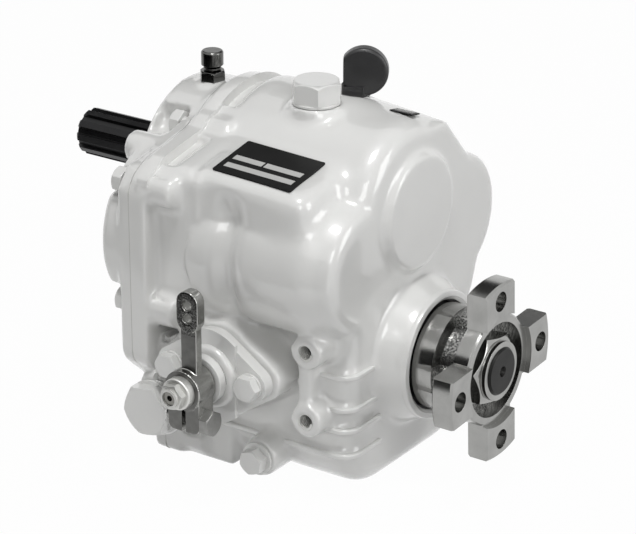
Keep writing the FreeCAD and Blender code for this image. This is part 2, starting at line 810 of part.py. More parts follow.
def input_shaft():
    bar = spline_bar(-input_stick_out, -input_stick_out + spline_length, spline_radius, spline_root_radius, spline_teeth)
    end = turned_x([(-input_stick_out - 1, 0), (-input_stick_out, spline_radius - 1.5),
                    (-input_stick_out + 1.5, spline_radius), (-input_stick_out + spline_length + 1, spline_radius),
                    (-input_stick_out + spline_length + 1, 0)])
    bar = bar.common(end)
    seat = front_bearing_x
    f0, f1 = forward_x0, forward_x1
    r0, r1 = reverse_x0, reverse_x1
    core = turned_x([
        (-input_stick_out + spline_length, 0), (-input_stick_out + spline_length, input_seal_radius),
        (seat - 0.2, input_seal_radius), (seat - 0.2, input_journal_radius), (seat + bearing_width, input_journal_radius),
        (seat + bearing_width, input_journal_radius + 4), (f0 + 1, input_journal_radius + 4),
        (f0 + 1, input_journal_radius), (r0 + 1, input_journal_radius), (r0 + 1, input_journal_radius + 1),
        (rear_bearing_x, input_journal_radius + 1), (rear_bearing_x, rear_input_journal),
        (rear_bearing_x + bearing_width, rear_input_journal), (rear_bearing_x + bearing_width, 0)])
    forward = gear_blank(forward_pinion_teeth, f0, f1, 0, 0, mesh_angle)
    reverse = gear_blank(reverse_pinion_teeth, r0, r1, 0, 0, mesh_angle)
    return fuse([bar, core, forward, reverse])


# Gears that run free on the output shaft, each with a tapered cup for the clutch

def cup_profile(face, sign):
    # the cup opens along X in the direction of sign
    slope = tan(radians(cone_angle))
    rim = face + sign * cup_depth
    mouth = cone_radius + cone_gap / cos(radians(cone_angle)) + cone_travel * slope
    groove_edge = groove_width() / 2 + 2.0
    gap = clutch_offset_to(rim)
    at_rim = mouth - (gap - groove_edge) * slope
    at_floor = at_rim - cup_depth * slope * 0.9
    return rim, at_rim, at_floor


def clutch_offset_to(x):
    return abs(clutch_x - x)


def groove_width():
    return 2 * shift_pin_radius + 2 * shift_pin_clearance


def free_gear(teeth, x0, x1, angle, sign):
    face = x1 if sign > 0 else x0
    back = x0 if sign > 0 else x1
    rim, at_rim, at_floor = cup_profile(face, sign)
    outer = at_rim + cup_wall
    body = gear_blank(teeth, x0, x1, 0, output_z, angle)
    cup = turned_x([(face - sign * 2, needle_radius), (face - sign * 2, outer), (rim, outer), (rim, at_rim),
                    (face + sign * cup_depth * 0.1, at_floor), (face, at_floor - 1), (face, needle_radius)], 0, output_z)
    body = body.fuse(cup)
    bore = cylinder_x(x0 - 20, x1 + 20, needle_radius, 0, output_z)
    body = body.cut(bore)
    waist = turned_x([(back - sign * 1, needle_radius + 6), (back - sign * 1, pitch_radius(teeth) - 9),
                      (back + sign * 5, pitch_radius(teeth) - 10), (back + sign * 5, needle_radius + 7)], 0, output_z)
    return body.cut(waist).removeSplitter()


def forward_gear():
    angle = meshed_angle(forward_gear_teeth, to_output, forward_pinion_teeth, mesh_angle)
    return free_gear(forward_gear_teeth, forward_x0, forward_x1, angle, 1)


def idler_angle():
    return meshed_angle(idler_teeth, to_idler, reverse_pinion_teeth, mesh_angle)


def reverse_gear():
    angle = meshed_angle(reverse_gear_teeth, idler_to_reverse, idler_teeth, idler_angle())
    return free_gear(reverse_gear_teeth, reverse_x0, reverse_x1, angle, -1)


def idler_gear():
    gear = gear_blank(idler_teeth, reverse_x0, reverse_x1, idler_y, idler_z, idler_angle())
    return gear.cut(cylinder_x(reverse_x0 - 1, reverse_x1 + 1, idler_bush_radius, idler_y, idler_z))


def bush(x0, x1, inner, outer, y, z):
    tube = turned_x([(x0, inner), (x0, outer), (x1, outer), (x1, inner)], y, z)
    middle = (x0 + x1) / 2
    groove = ring_x(middle - 1, middle + 1, inner - 1, inner + 0.8, y, z)
    return tube.cut(groove)


def idler_pin():
    tail = case_x1 - 3.5
    head = reverse_x0 - 2.6
    r = idler_pin_radius
    return turned_x([(head, 0), (head, r - 0.8), (head + 0.8, r), (tail, r), (tail, 0)], idler_y, idler_z)


def idler_washer():
    inner = idler_pin_radius + running_clearance
    return ring_x(reverse_x1 + 0.1, rear_boss_x - 0.1, inner, idler_bush_radius + 2.5, idler_y, idler_z)


# Output shaft

def output_shaft():
    j = gear_journal
    left = front_bearing_x
    s0 = forward_x1 + 0.1 + thrust_washer
    s1 = reverse_x0 - 0.1 - thrust_washer
    bearing_end = rear_bearing_x + bearing_width
    seat_end = flange_face - nut_recess_depth - 2.0
    core = turned_x([
        (left, 0), (left, front_output_journal), (left + bearing_width, front_output_journal),
        (left + bearing_width, j), (rear_bearing_x, j), (rear_bearing_x, rear_output_journal),
        (bearing_end, rear_output_journal), (bearing_end, flange_seat_radius), (seat_end, flange_seat_radius),
        (seat_end, output_thread_radius), (flange_face, output_thread_radius), (flange_face + 1, output_thread_radius - 1),
        (flange_face + 1, 3.0), (flange_face - 5, 0)], 0, output_z)
    spline = spline_bar(s0, s1, clutch_spline_radius, clutch_spline_root, clutch_spline_teeth, 0, output_z)
    ends = spline_bar(bearing_end + 4, seat_end, flange_seat_radius + 1.5, flange_seat_radius - 0.5, 12, 0, output_z)
    return fuse([core, spline, ends])


def thrust_washers():
    j = gear_journal + 0.03
    outer = needle_radius + 4.5
    spots = [(front_bearing_x + bearing_width + 0.1, forward_x0 - 0.1), (forward_x1 + 0.1, forward_x1 + 0.1 + thrust_washer),
             (reverse_x0 - 0.1 - thrust_washer, reverse_x0 - 0.1), (reverse_x1 + 0.1, rear_bearing_x - 0.1)]
    return Part.makeCompound([ring_x(a, b, j, outer, 0, output_z) for a, b in spots])


# Double cone of the clutch

def shift_cone():
    half = groove_width() / 2
    land = half + 2.0
    slope = tan(radians(cone_angle))
    end = clutch_half_length
    tip = cone_radius - (end - land) * slope
    floor = cone_radius - groove_depth
    profile = [(-end, tip), (-land, cone_radius), (-half, cone_radius), (-half, floor), (half, floor), (half, cone_radius),
               (land, cone_radius), (end, tip), (end, tip - 7), (end - 5, clutch_spline_radius + 5),
               (end - 5, clutch_spline_root - 2), (-end + 5, clutch_spline_root - 2), (-end + 5, clutch_spline_radius + 5),
               (-end, tip - 7)]
    body = turned_x([(clutch_x + x, radius) for x, radius in profile], 0, output_z)
    hole = spline_bar(clutch_x - end, clutch_x + end, clutch_spline_radius + running_clearance,
                      clutch_spline_root + running_clearance, clutch_spline_teeth, 0, output_z, 0.53)
    core = cylinder_x(clutch_x - end, clutch_x + end, clutch_spline_root + running_clearance, 0, output_z)
    return body.cut(hole.fuse(core))


# Output coupling

def output_flange():
    f = flange_face
    ring0 = seal_boss_x - hub_ring_overlap
    hub0 = rear_bearing_x + bearing_width + 0.2
    thick = flange_arm_thickness
    profile = [
        (hub0, flange_seat_radius), (hub0, seal_sleeve_radius), (ring0, seal_sleeve_radius),
        (ring0, hub_ring_radius - 1), (ring0 + 1, hub_ring_radius), (ring0 + hub_ring_length, hub_ring_radius),
        (ring0 + hub_ring_length + 2, hub_neck_radius), (f - thick - 3, hub_neck_radius),
        (f - thick, flange_ring_radius - 2), (f - thick, flange_ring_radius),
        (f - register_depth - 1, flange_ring_radius), (f - register_depth, flange_ring_radius - 1),
        (f - register_depth, nut_recess_radius), (f - nut_recess_depth, nut_recess_radius),
        (f - nut_recess_depth, flange_seat_radius)]
    body = turned_x(profile, 0, output_z)
    half = flange_arm_width / 2
    arms = []
    reach = flange_radius + 5
    for i in range(flange_arms // 2):
        arm = prism_x([(-half, -reach, 0), (half, -reach, 0), (half, reach, 0), (-half, reach, 0)], f - thick, f)
        arm.rotate(O, X, 180.0 * 2 * i / flange_arms + flange_turn)
        arms.append(arm)
    disc = cylinder_x(f - thick, f, flange_radius)
    disc = disc.makeChamfer(1.2, [e for e in disc.Edges if e.BoundBox.XLength < 0.01])
    arms = fuse(arms).common(disc)
    arms = arms.cut(cylinder_x(f - thick - 1, f + 1, nut_recess_radius + 2))
    arms = arms.cut(cylinder_x(f - register_depth, f + 1, register_radius))
    arms.translate(vec(0, 0, output_z))
    body = fuse([body, arms] + flange_ribs(ring0 + hub_ring_length - 1, f - thick + 1))
    holes = []
    for i in range(flange_arms):
        a = radians(360.0 * i / flange_arms + flange_turn)
        r = flange_bolt_circle / 2
        holes.append(cylinder_x(f - thick - 1, f + 1, flange_hole_radius, r * cos(a), output_z + r * sin(a)))
    spline = spline_bar(hub0 - 1, f, flange_seat_radius + 1.5, flange_seat_radius - 0.5, 12, 0, output_z)
    return body.cut(fuse(holes)).cut(spline).removeSplitter()


def flange_ribs(x0, x1):
    # ribs that carry the arms back to the hub ring
    half = hub_rib_width / 2
    shapes = []
    for i in range(flange_arms):
        rib = prism_y([(x0, hub_neck_radius - 3, 0), (x0, hub_ring_radius - 1, 0), (x1, flange_ring_radius + 3, 0),
                       (x1, hub_neck_radius - 3, 0)], -half, half)
        rib.rotate(O, X, 360.0 * i / flange_arms + flange_turn)
        rib.translate(vec(0, 0, output_z))
        shapes.append(rib)
    return shapes


def output_nut():
    x0 = flange_face - nut_recess_depth
    nut = hexagon(output_nut_flats, output_nut_height, vec(x0, 0, 0), X, output_nut_turn)
    collar_end = x0 + output_nut_height + output_nut_collar_height
    collar = cylinder_x(x0 + output_nut_height - 0.5, collar_end, output_nut_collar)
    nut = nut.fuse(collar)
    nut.translate(vec(0, 0, output_z))
    return nut.cut(cylinder_x(x0 - 1, flange_face + 5, output_thread_radius, 0, output_z))


# Selector

lever_back_y = cover_face_y + selector_sleeve_out
lever_front_y = lever_back_y + lever_hub_length


def shift_cover():
    plate = prism_y(diamond(0.0), -cover_face_y, -pad_face_y - gasket_thickness)
    front = -cover_face_y - selector_boss_height
    boss = cylinder_y(front, -cover_face_y + 1, selector_boss_radius, clutch_x, output_z)
    boss = boss.makeFillet(3.2, [e for e in boss.Edges if abs(e.BoundBox.YMax - front) < 1e-3])
    step = cylinder_y(-cover_face_y - selector_step_height, -cover_face_y + 1, selector_step_radius, clutch_x, output_z)
    step = step.cut(box(clutch_x + selector_bolt_spacing / 2 - 9, clutch_x + 60, -200, 0, output_z - 60, output_z + 60))
    step = step.cut(box(clutch_x - 60, clutch_x - selector_bolt_spacing / 2 + 9, -200, 0, output_z - 60, output_z + 60))
    body = fuse([plate, boss, step])
    tools = [cylinder_y(-cover_face_y - 10, -40, selector_sleeve_radius, clutch_x, output_z)]
    for a in (-1, 1):
        x = clutch_x + a * selector_bolt_spacing / 2
        tools.append(cylinder_y(-cover_face_y - 10, -40, selector_bolt_radius + 0.4, x, output_z))
    return body.cut(fuse(tools))


def shift_cover_gasket():
    sheet = prism_y(diamond(-0.5), -pad_face_y - gasket_thickness, -pad_face_y)
    tools = [cylinder_y(-cover_face_y - 10, -40, selector_sleeve_radius + 0.5, clutch_x, output_z)]
    for a in (-1, 1):
        x = clutch_x + a * selector_bolt_spacing / 2
        tools.append(cylinder_y(-cover_face_y - 10, -40, selector_bolt_radius + 0.6, x, output_z))
    return sheet.cut(fuse(tools))


def washer_y(x, z, y, inner, outer, thickness):
    return cylinder_y(y - thickness, y, outer, x, z).cut(cylinder_y(y - thickness - 1, y + 1, inner, x, z))


washer_thickness = 1.5


def shift_cover_washers():
    return Part.makeCompound([washer_y(clutch_x + a * selector_bolt_spacing / 2, output_z, -cover_face_y,
                                       selector_bolt_radius + 0.3, 7.4, washer_thickness) for a in (-1, 1)])


def shift_cover_bolts():
    seat = -cover_face_y - washer_thickness
    return Part.makeCompound([
        hex_bolt(13.0, 5.3, selector_bolt_radius, cover_plate + gasket_thickness + 14.0,
                 vec(clutch_x + a * selector_bolt_spacing / 2, seat, output_z), Y * -1)
        for a in (-1, 1)])


def selector_sleeve():
    y0 = -lever_back_y + 0.6
    y1 = -cone_radius - 6.0
    tube = cylinder_y(y0, y1, selector_sleeve_radius, clutch_x, output_z)
    return tube.cut(cylinder_y(y0 - 1, y1 + 1, selector_shaft_radius + running_clearance, clutch_x, output_z))


shift_offset = cone_travel / sin(radians(lever_angle_limit))


def selector_shaft():
    y0 = -lever_front_y
    y1 = -cone_radius - 1.0
    stud_end = y0 - end_washer_thickness - end_nut_height - 0.4
    bar = cylinder_y(y0, y1, selector_shaft_radius, clutch_x, output_z)
    stud = cylinder_y(stud_end, y0 + 1, end_stud_radius, clutch_x, output_z)
    pin = cylinder_y(y1 - 1, -cone_radius + groove_depth - 1.0, shift_pin_radius, clutch_x, output_z - shift_offset)
    return fuse([bar, stud, pin]).cut(cylinder_y(stud_end - 1, stud_end + 3, 1.6, clutch_x, output_z))


def shift_lever():
    y0 = -lever_front_y
    hub = cylinder_y(y0, -lever_back_y, lever_hub_radius, 0, output_z)
    half = lever_arm_width / 2
    arm_y = y0 + lever_arm_setback
    head = lever_head_width / 2
    head_z = output_z + lever_length + lever_hole_pitch / 2
    arm = prism_y([(-half, output_z, 0), (half, output_z, 0), (half, head_z, 0), (-half, head_z, 0)],
                  arm_y, arm_y + lever_arm_thickness)
    pad = prism_y([(-head, head_z - lever_head_length / 2, head * 0.98), (head, head_z - lever_head_length / 2, head * 0.98),
                   (head, head_z + lever_head_length / 2, head * 0.98), (-head, head_z + lever_head_length / 2, head * 0.98)],
                  arm_y - 1.0, arm_y - 1.0 + lever_head_thickness)
    arm = fuse([arm, pad])
    arm.translate(vec(lever_arm_offset, 0, 0))
    ear_z = output_z - clamp_drop - 6.0
    ears = prism_y([(-lever_ear_half, output_z - 2, 0), (lever_ear_half, output_z - 2, 0), (lever_ear_half, ear_z, 4.0),
                    (-lever_ear_half, ear_z, 4.0)], y0 + 1, -lever_back_y - 1)
    body = fuse([hub, arm, ears])
    tools = [cylinder_y(y0 - 1, -lever_back_y + 1, selector_shaft_radius, 0, output_z),
             box(-clamp_slot / 2, clamp_slot / 2, y0 - 1, -lever_back_y + 1, ear_z - 5, output_z)]
    mid = (y0 - lever_back_y) / 2
    tools.append(cylinder_x(-lever_ear_half - 5, lever_ear_half + 5, clamp_bolt_radius, mid, output_z - clamp_drop))
    for d in (0, lever_hole_pitch):
        tools.append(cylinder_y(y0 - 1, -lever_back_y + 1, lever_hole_radius, lever_arm_offset, output_z + lever_length + d))
    body = body.cut(fuse(tools))
    body.translate(vec(clutch_x, 0, 0))
    return body


def lever_clamp_bolt():
    mid = -(lever_front_y + lever_back_y) / 2
    return hex_bolt(clamp_bolt_flats, clamp_bolt_head, clamp_bolt_radius, 2 * lever_ear_half + 3.0,
                    vec(clutch_x + lever_ear_half, mid, output_z - clamp_drop), X)


def lever_end_washer():
    y1 = -lever_front_y
    disc = cylinder_y(y1 - end_washer_thickness, y1, end_washer_radius, clutch_x, output_z)
    disc = disc.makeChamfer(0.8, [e for e in disc.Edges if abs(e.BoundBox.YMax - y1 + end_washer_thickness) < 1e-3])
    return disc.cut(cylinder_y(y1 - end_washer_thickness - 1, y1 + 1, end_stud_radius, clutch_x, output_z))


def lever_end_nut():
    seat = -lever_front_y - end_washer_thickness
    nut = hexagon(end_nut_flats, end_nut_height, vec(clutch_x, seat, output_z), Y * -1, 12.0)
    crown = cylinder_y(seat - end_nut_height - 1.4, seat - end_nut_height + 0.5, end_nut_flats * 0.42, clutch_x, output_z)
    hole = cylinder_y(seat - end_nut_height - 5, seat + 1, end_stud_radius, clutch_x, output_z)
    return nut.fuse(crown).cut(hole)


# Plugs, breather, plates and dipstick

def hex_plug_y(x, z, face, flats, head, thread, length, turn):
    seat = vec(x, -face - washer_thickness, z)
    plug = hexagon(flats, head, seat, Y * -1, turn)
    return plug.fuse(Part.makeCylinder(thread, length, seat, Y))


def side_plug():
    return hex_plug_y(side_plug_x, side_plug_z, side_plug_face_y, side_plug_flats, 7.5, side_plug_thread, 14.0, 10.0)


def side_plug_washer():
    return washer_y(side_plug_x, side_plug_z, -side_plug_face_y, side_plug_thread, side_plug_flats * 0.58, washer_thickness)


def drain_plug():
    return hex_plug_y(drain_x, drain_z, drain_face_y, drain_flats, 6.5, drain_thread, 12.0, 20.0)


def drain_washer():
    return washer_y(drain_x, drain_z, -drain_face_y, drain_thread, drain_flats * 0.72, washer_thickness)


def filler_plug():
    seat = vec(filler_x, filler_y, deck_top + washer_thickness)
    plug = hexagon(filler_flats, filler_head, seat, Z, 8.0)
    return plug.fuse(Part.makeCylinder(filler_thread_radius, 12.0, seat, Z * -1))


def filler_washer():
    z0 = deck_top
    disc = cylinder_z(z0, z0 + washer_thickness, filler_flats * 0.54, filler_x, filler_y)
    return disc.cut(cylinder_z(z0 - 1, z0 + 5, filler_thread_radius, filler_x, filler_y))


breather_seat = neck_radius + 1.5


def turned_z(profile, x, y):
    points = [vec(radius, 0, z) for radius, z in profile]
    solid = Part.Face(Part.makePolygon(points + [points[0]])).revolve(O, Z, 360)
    solid.translate(vec(x, y, 0))
    return solid


def breather_body():
    z0 = breather_seat
    base = hexagon(13.0, 5.4, vec(breather_x, breather_y, z0), Z, 12.0)
    stem = turned_z([(0, z0 - 6), (3.5, z0 - 6), (3.5, z0), (3.5, z0 + 5.4), (4.9, z0 + 6.0), (4.9, z0 + 7.0), (3.6, z0 + 7.6),
                     (3.6, z0 + 11.0), (0, z0 + 11.0)], breather_x, breather_y)
    return base.fuse(stem)


def breather_cap():
    z0 = breather_seat + 8.2
    return turned_z([(3.6, z0), (5.8, z0), (6.2, z0 + 0.5), (6.2, z0 + 7.6), (5.4, z0 + 8.5), (0, z0 + 8.6),
                     (0, z0 + 2.8), (3.6, z0 + 2.8)], breather_x, breather_y)


def data_plate():
    plate = prism_z([(0, 0, 1.0), (plate_length, 0, 1.0), (plate_length, plate_width, 1.0), (0, plate_width, 1.0)],
                    0, plate_thickness)
    plate.rotate(O, X, deck_tilt)
    plate.translate(vec(case_x0 + plate_from_joint, -plate_y, deck_z(plate_y)))
    plate.rotate(vec(case_x0, 0, deck_edge_height), Y, deck_fall)
    return plate


def small_plate_block(height, grow):
    # a block on the flat seat milled on the dome for the small plate
    x = case_x1 - small_plate_from_rear
    a = small_plate_length / 2 + grow
    b = small_plate_width / 2 + grow
    seat = dome_end_radius + 2.8
    sheet = box(x - a, x + a, -b, b, seat, seat + height)
    sheet.rotate(O, X, -small_plate_tilt)
    return sheet


def small_plate():
    return small_plate_block(plate_thickness, 0.0)


def dipstick_blade():
    # the blade ends a little below the middle of the output shaft
    length = (dipstick_seat - output_z + 2 * blade_radius) / cos(dipstick_lean())
    return dipstick_rod(blade_radius, length, dipstick_collar_height + 2.0)


def dipstick_collar():
    z0 = dipstick_seat
    collar = cylinder_z(z0, z0 + dipstick_collar_height, dipstick_collar_radius, dipstick_x, dipstick_y)
    return collar.cut(dipstick_rod(blade_radius + 0.5, 40, 40))


def dipstick_grip():
    z0 = dipstick_seat + dipstick_collar_height
    stem = cylinder_z(z0, z0 + 6, grip_stem_radius, dipstick_x, dipstick_y)
    centre = vec(grip_offset, 0, z0 + grip_lift)
    disc = Part.makeCylinder(grip_radius, grip_thickness, centre - Y * grip_thickness / 2, Y)
    disc = disc.makeFillet(2.0, [e for e in disc.Edges if e.BoundBox.YLength < 1e-3])
    disc = disc.cut(box(-30, centre.x - 11.0, -20, 20, z0, z0 + 60))
    disc.translate(vec(dipstick_x, dipstick_y, 0))
    disc.rotate(vec(dipstick_x, dipstick_y, 0), Z, grip_turn)
    return fuse([stem, disc]).cut(dipstick_rod(blade_radius, 20, dipstick_collar_height + 2.0))


nodes = {
    "main_case": main_case,
    "front_cover": front_cover,
    "case_gasket": case_gasket,
    "case_bolts": case_bolts,
    "dowel_pins": dowel_pins,
    "input_cup_front": lambda: taper_cup(input_journal_radius, input_cup_radius, front_bearing_x, -1, 0),
    "input_cone_front": lambda: taper_cone(input_journal_radius, input_cup_radius, front_bearing_x, -1, 0),
    "input_cup_rear": lambda: taper_cup(rear_input_journal, rear_input_cup, rear_bearing_x, 1, 0),
    "input_cone_rear": lambda: taper_cone(rear_input_journal, rear_input_cup, rear_bearing_x, 1, 0),
    "output_cup_front": lambda: taper_cup(front_output_journal, front_output_cup, front_bearing_x, -1, output_z),
    "output_cone_front": lambda: taper_cone(front_output_journal, front_output_cup, front_bearing_x, -1, output_z),
    "output_cup_rear": lambda: taper_cup(rear_output_journal, rear_output_cup, rear_bearing_x, 1, output_z),
    "output_cone_rear": lambda: taper_cone(rear_output_journal, rear_output_cup, rear_bearing_x, 1, output_z),
    "input_seal": lambda: lip_seal(0.0, input_seal_width - 1.0, input_seal_radius, input_seal_outer, 0),
    "output_seal": lambda: lip_seal(output_seal_x, output_seal_width, seal_sleeve_radius,
                                    output_seal_outer, output_z),
    "input_shaft": input_shaft,
    "forward_gear": forward_gear,
    "forward_bush": lambda: bush(forward_x0, forward_x1, gear_journal + running_clearance, needle_radius, 0, output_z),
    "reverse_gear": reverse_gear,
    "reverse_bush": lambda: bush(reverse_x0, reverse_x1, gear_journal + running_clearance, needle_radius, 0, output_z),
    "idler_gear": idler_gear,
    "idler_bush": lambda: bush(reverse_x0, reverse_x1, idler_pin_radius + running_clearance, idler_bush_radius,
                               idler_y, idler_z),
    "idler_pin": idler_pin,
    "idler_washer": idler_washer,
    "output_shaft": output_shaft,
    "thrust_washers": thrust_washers,
    "shift_cone": shift_cone,
    "output_flange": output_flange,
    "output_nut": output_nut,
    "shift_cover": shift_cover,
    "shift_cover_gasket": shift_cover_gasket,
    "shift_cover_washers": shift_cover_washers,
    "shift_cover_bolts": shift_cover_bolts,
    "selector_sleeve": selector_sleeve,
    "selector_shaft": selector_shaft,
    "shift_lever": shift_lever,
    "lever_clamp_bolt": lever_clamp_bolt,
    "lever_end_washer": lever_end_washer,
    "lever_end_nut": lever_end_nut,
    "side_plug": side_plug,
    "side_plug_washer": side_plug_washer,
    "drain_plug": drain_plug,
    "drain_washer": drain_washer,
    "filler_plug": filler_plug,
    "filler_washer": filler_washer,
    "breather_body": breather_body,
    "breather_cap": breather_cap,
    "data_plate": data_plate,
    "small_plate": small_plate,
    "dipstick_collar": dipstick_collar,
    "dipstick_grip": dipstick_grip,
    "dipstick_blade": dipstick_blade,
}

for name, make in nodes.items():
    save(name, make())
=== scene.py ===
import bpy
import json
from math import cos, exp, pi, radians, sin, sqrt
from mathutils import Matrix, Vector


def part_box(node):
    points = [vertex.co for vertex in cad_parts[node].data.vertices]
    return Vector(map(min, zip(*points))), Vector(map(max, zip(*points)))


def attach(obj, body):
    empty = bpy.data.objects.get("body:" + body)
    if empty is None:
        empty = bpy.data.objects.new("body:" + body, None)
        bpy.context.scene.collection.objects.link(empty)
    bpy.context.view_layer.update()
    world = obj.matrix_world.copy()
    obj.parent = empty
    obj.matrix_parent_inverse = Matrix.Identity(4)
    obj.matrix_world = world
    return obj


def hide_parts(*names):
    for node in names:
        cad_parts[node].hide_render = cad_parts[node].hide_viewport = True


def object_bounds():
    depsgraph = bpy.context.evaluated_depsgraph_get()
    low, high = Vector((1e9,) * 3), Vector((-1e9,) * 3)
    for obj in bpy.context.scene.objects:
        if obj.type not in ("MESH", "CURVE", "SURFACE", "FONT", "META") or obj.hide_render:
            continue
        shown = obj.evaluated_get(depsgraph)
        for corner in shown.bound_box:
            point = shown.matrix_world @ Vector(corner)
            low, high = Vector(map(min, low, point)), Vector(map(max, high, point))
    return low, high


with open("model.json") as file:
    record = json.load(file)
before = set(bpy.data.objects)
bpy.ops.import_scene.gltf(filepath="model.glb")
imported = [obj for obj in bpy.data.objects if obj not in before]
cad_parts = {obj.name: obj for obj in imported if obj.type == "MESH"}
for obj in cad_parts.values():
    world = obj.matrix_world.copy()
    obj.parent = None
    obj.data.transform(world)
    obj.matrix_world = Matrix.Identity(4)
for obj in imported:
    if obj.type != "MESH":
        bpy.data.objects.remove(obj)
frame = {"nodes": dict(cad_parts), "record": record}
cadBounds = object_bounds()
nodes = frame["nodes"]
mm = 0.001
weldGap = 0.001 * mm


# Small helpers

def deselectAll():
    if bpy.context.object and bpy.context.object.mode != "OBJECT":
        bpy.ops.object.mode_set(mode="OBJECT")
    bpy.ops.object.select_all(action="DESELECT")


def makeActive(piece):
    deselectAll()
    piece.select_set(True)
    bpy.context.view_layer.objects.active = piece


def addModifier(piece, kind, settings):
    makeActive(piece)
    modifier = piece.modifiers.new(kind.title(), kind)
    for key, value in settings.items():
        setattr(modifier, key, value)
    bpy.ops.object.modifier_apply(modifier=modifier.name)


def placePiece(piece, name):
    piece.name = name
    piece.data.name = name
    makeActive(piece)
    bpy.ops.object.transform_apply(location=True, rotation=True, scale=True)


def startEdit(piece):
    makeActive(piece)
    bpy.ops.object.mode_set(mode="EDIT")
    bpy.ops.mesh.select_all(action="SELECT")


def endEdit():
    bpy.ops.object.mode_set(mode="OBJECT")


def weld():
    bpy.ops.mesh.select_all(action="SELECT")
    bpy.ops.mesh.remove_doubles(threshold=weldGap)


def copyOfNode(name, node):
    mesh = nodes[node].data.copy()
    piece = bpy.data.objects.new(name, mesh)
    bpy.context.scene.collection.objects.link(piece)
    mesh.materials.clear()
    startEdit(piece)
    weld()
    endEdit()
    return piece


def cylinderBetween(start, end, radius, sides):
    start, end = Vector(start), Vector(end)
    axis = end - start
    bpy.ops.mesh.primitive_cylinder_add(vertices=sides, radius=radius, depth=axis.length,
                                        location=(start + end) / 2,
                                        rotation=axis.to_track_quat("Z", "Y").to_euler())
    return bpy.context.object


def joinPieces(pieces):
    makeActive(pieces[0])
    for piece in pieces:
        piece.select_set(True)
    bpy.ops.object.join()
    return bpy.context.object


# Colours and materials

def linearColor(hexCode):
    parts = [int(hexCode[i:i + 2], 16) / 255 for i in (1, 3, 5)]
    return [c / 12.92 if c <= 0.04045 else ((c + 0.055) / 1.055) ** 2.4 for c in parts] + [1.0]


def addNode(tree, kind, settings=None, links=None):
    node = tree.nodes.new("ShaderNode" + kind)
    for key, value in (settings or {}).items():
        if isinstance(key, int) or key in node.inputs:
            node.inputs[key].default_value = value
        else:
            setattr(node, key, value)
    for socket, source in (links or {}).items():
        tree.links.new(source, node.inputs[socket])
    return node


def newMaterial(name, settings):
    material = bpy.data.materials.new(name)
    material.use_nodes = True
    shader = material.node_tree.nodes["Principled BSDF"]
    for key, value in settings.items():
        shader.inputs[key].default_value = value
    return material, material.node_tree, shader


def objectPlace(tree, origin=(0, 0, 0)):
    place = addNode(tree, "TexCoord").outputs["Object"]
    settings = {"vector_type": "TEXTURE", "Location": origin}
    return addNode(tree, "Mapping", settings, {"Vector": place}).outputs["Vector"]


def speckle(tree, place, size, detail=2.0):
    # cloudy noise whose lumps are about one size across
    settings = {"Scale": 1 / size, "Detail": detail}
    return addNode(tree, "TexNoise", settings, {"Vector": place}).outputs["Fac"]


def mixedColors(tree, fac, colorA, colorB):
    settings = {"Color1": linearColor(colorA), "Color2": linearColor(colorB)}
    return addNode(tree, "MixRGB", settings, {"Fac": fac}).outputs["Color"]


def tintBetween(tree, shader, fac, colorA, colorB):
    tree.links.new(mixedColors(tree, fac, colorA, colorB), shader.inputs["Base Color"])


def roughBetween(tree, shader, fac, low, high):
    span = addNode(tree, "MapRange", {"To Min": low, "To Max": high}, {"Value": fac})
    tree.links.new(span.outputs["Result"], shader.inputs["Roughness"])


def bumpWith(tree, shader, height, depth, strength, below=None):
    links = {"Height": height}
    if below:
        links["Normal"] = below
    bump = addNode(tree, "Bump", {"Strength": strength, "Distance": depth}, links)
    tree.links.new(bump.outputs["Normal"], shader.inputs["Normal"])
    return bump.outputs["Normal"]


def dress(piece, material):
    piece.data.materials.clear()
    piece.data.materials.append(material)


castPaintSet = {"color": "#E3E3E1", "shade": "#DADAD8", "roughness": (0.26, 0.36), "cloud": 30 * mm,
                "peel": 2.4 * mm, "peelDepth": 0.06 * mm, "peelStrength": 0.22,
                "grain": 0.8 * mm, "grainDepth": 0.02 * mm, "grainStrength": 0.12}


def castPaint():
    # two-part engine enamel sprayed on die-cast aluminium: white, satin gloss, a little orange peel
    s = castPaintSet
    coat = {"IOR": 1.5, "Coat Weight": 0.9, "Coat Roughness": 0.07}
    material, tree, shader = newMaterial("castPaint", coat)
    place = objectPlace(tree)
    cloud = speckle(tree, place, s["cloud"], 3.0)
    tintBetween(tree, shader, cloud, s["color"], s["shade"])
    roughBetween(tree, shader, cloud, *s["roughness"])
    lumps = speckle(tree, place, s["peel"], 1.0)
    grain = speckle(tree, place, s["grain"])
    peel = bumpWith(tree, shader, lumps, s["peelDepth"], s["peelStrength"])
    bumpWith(tree, shader, grain, s["grainDepth"], s["grainStrength"], peel)
    return material


machinedSet = {"color": "#ADADAB", "shade": "#8B8B89", "roughness": (0.14, 0.24), "pitch": 0.9 * mm,
               "depth": 0.012 * mm, "strength": 0.5, "cloud": 12 * mm}


def turnedMetal(name, settings, origin, axis):
    # steel from the lathe: bright, with fine rings about its axis, drawn coarser so that they show
    s = settings
    material, tree, shader = newMaterial(name, {"Metallic": 1.0, "Anisotropic": 0.2})
    place = objectPlace(tree, origin)
    cloud = speckle(tree, place, s["cloud"], 3.0)
    tintBetween(tree, shader, cloud, s["color"], s["shade"])
    roughBetween(tree, shader, cloud, *s["roughness"])
    # the wave texture repeats every pi / 10 units at a scale of 1
    wave = {"wave_type": "RINGS", "rings_direction": axis, "Scale": pi / 10 / s["pitch"],
            "Distortion": 0.4, "Detail": 2.0, "Detail Scale": 2.0}
    rings = addNode(tree, "TexWave", wave, {"Vector": place})
    bumpWith(tree, shader, rings.outputs["Fac"], s["depth"], s["strength"])
    return material


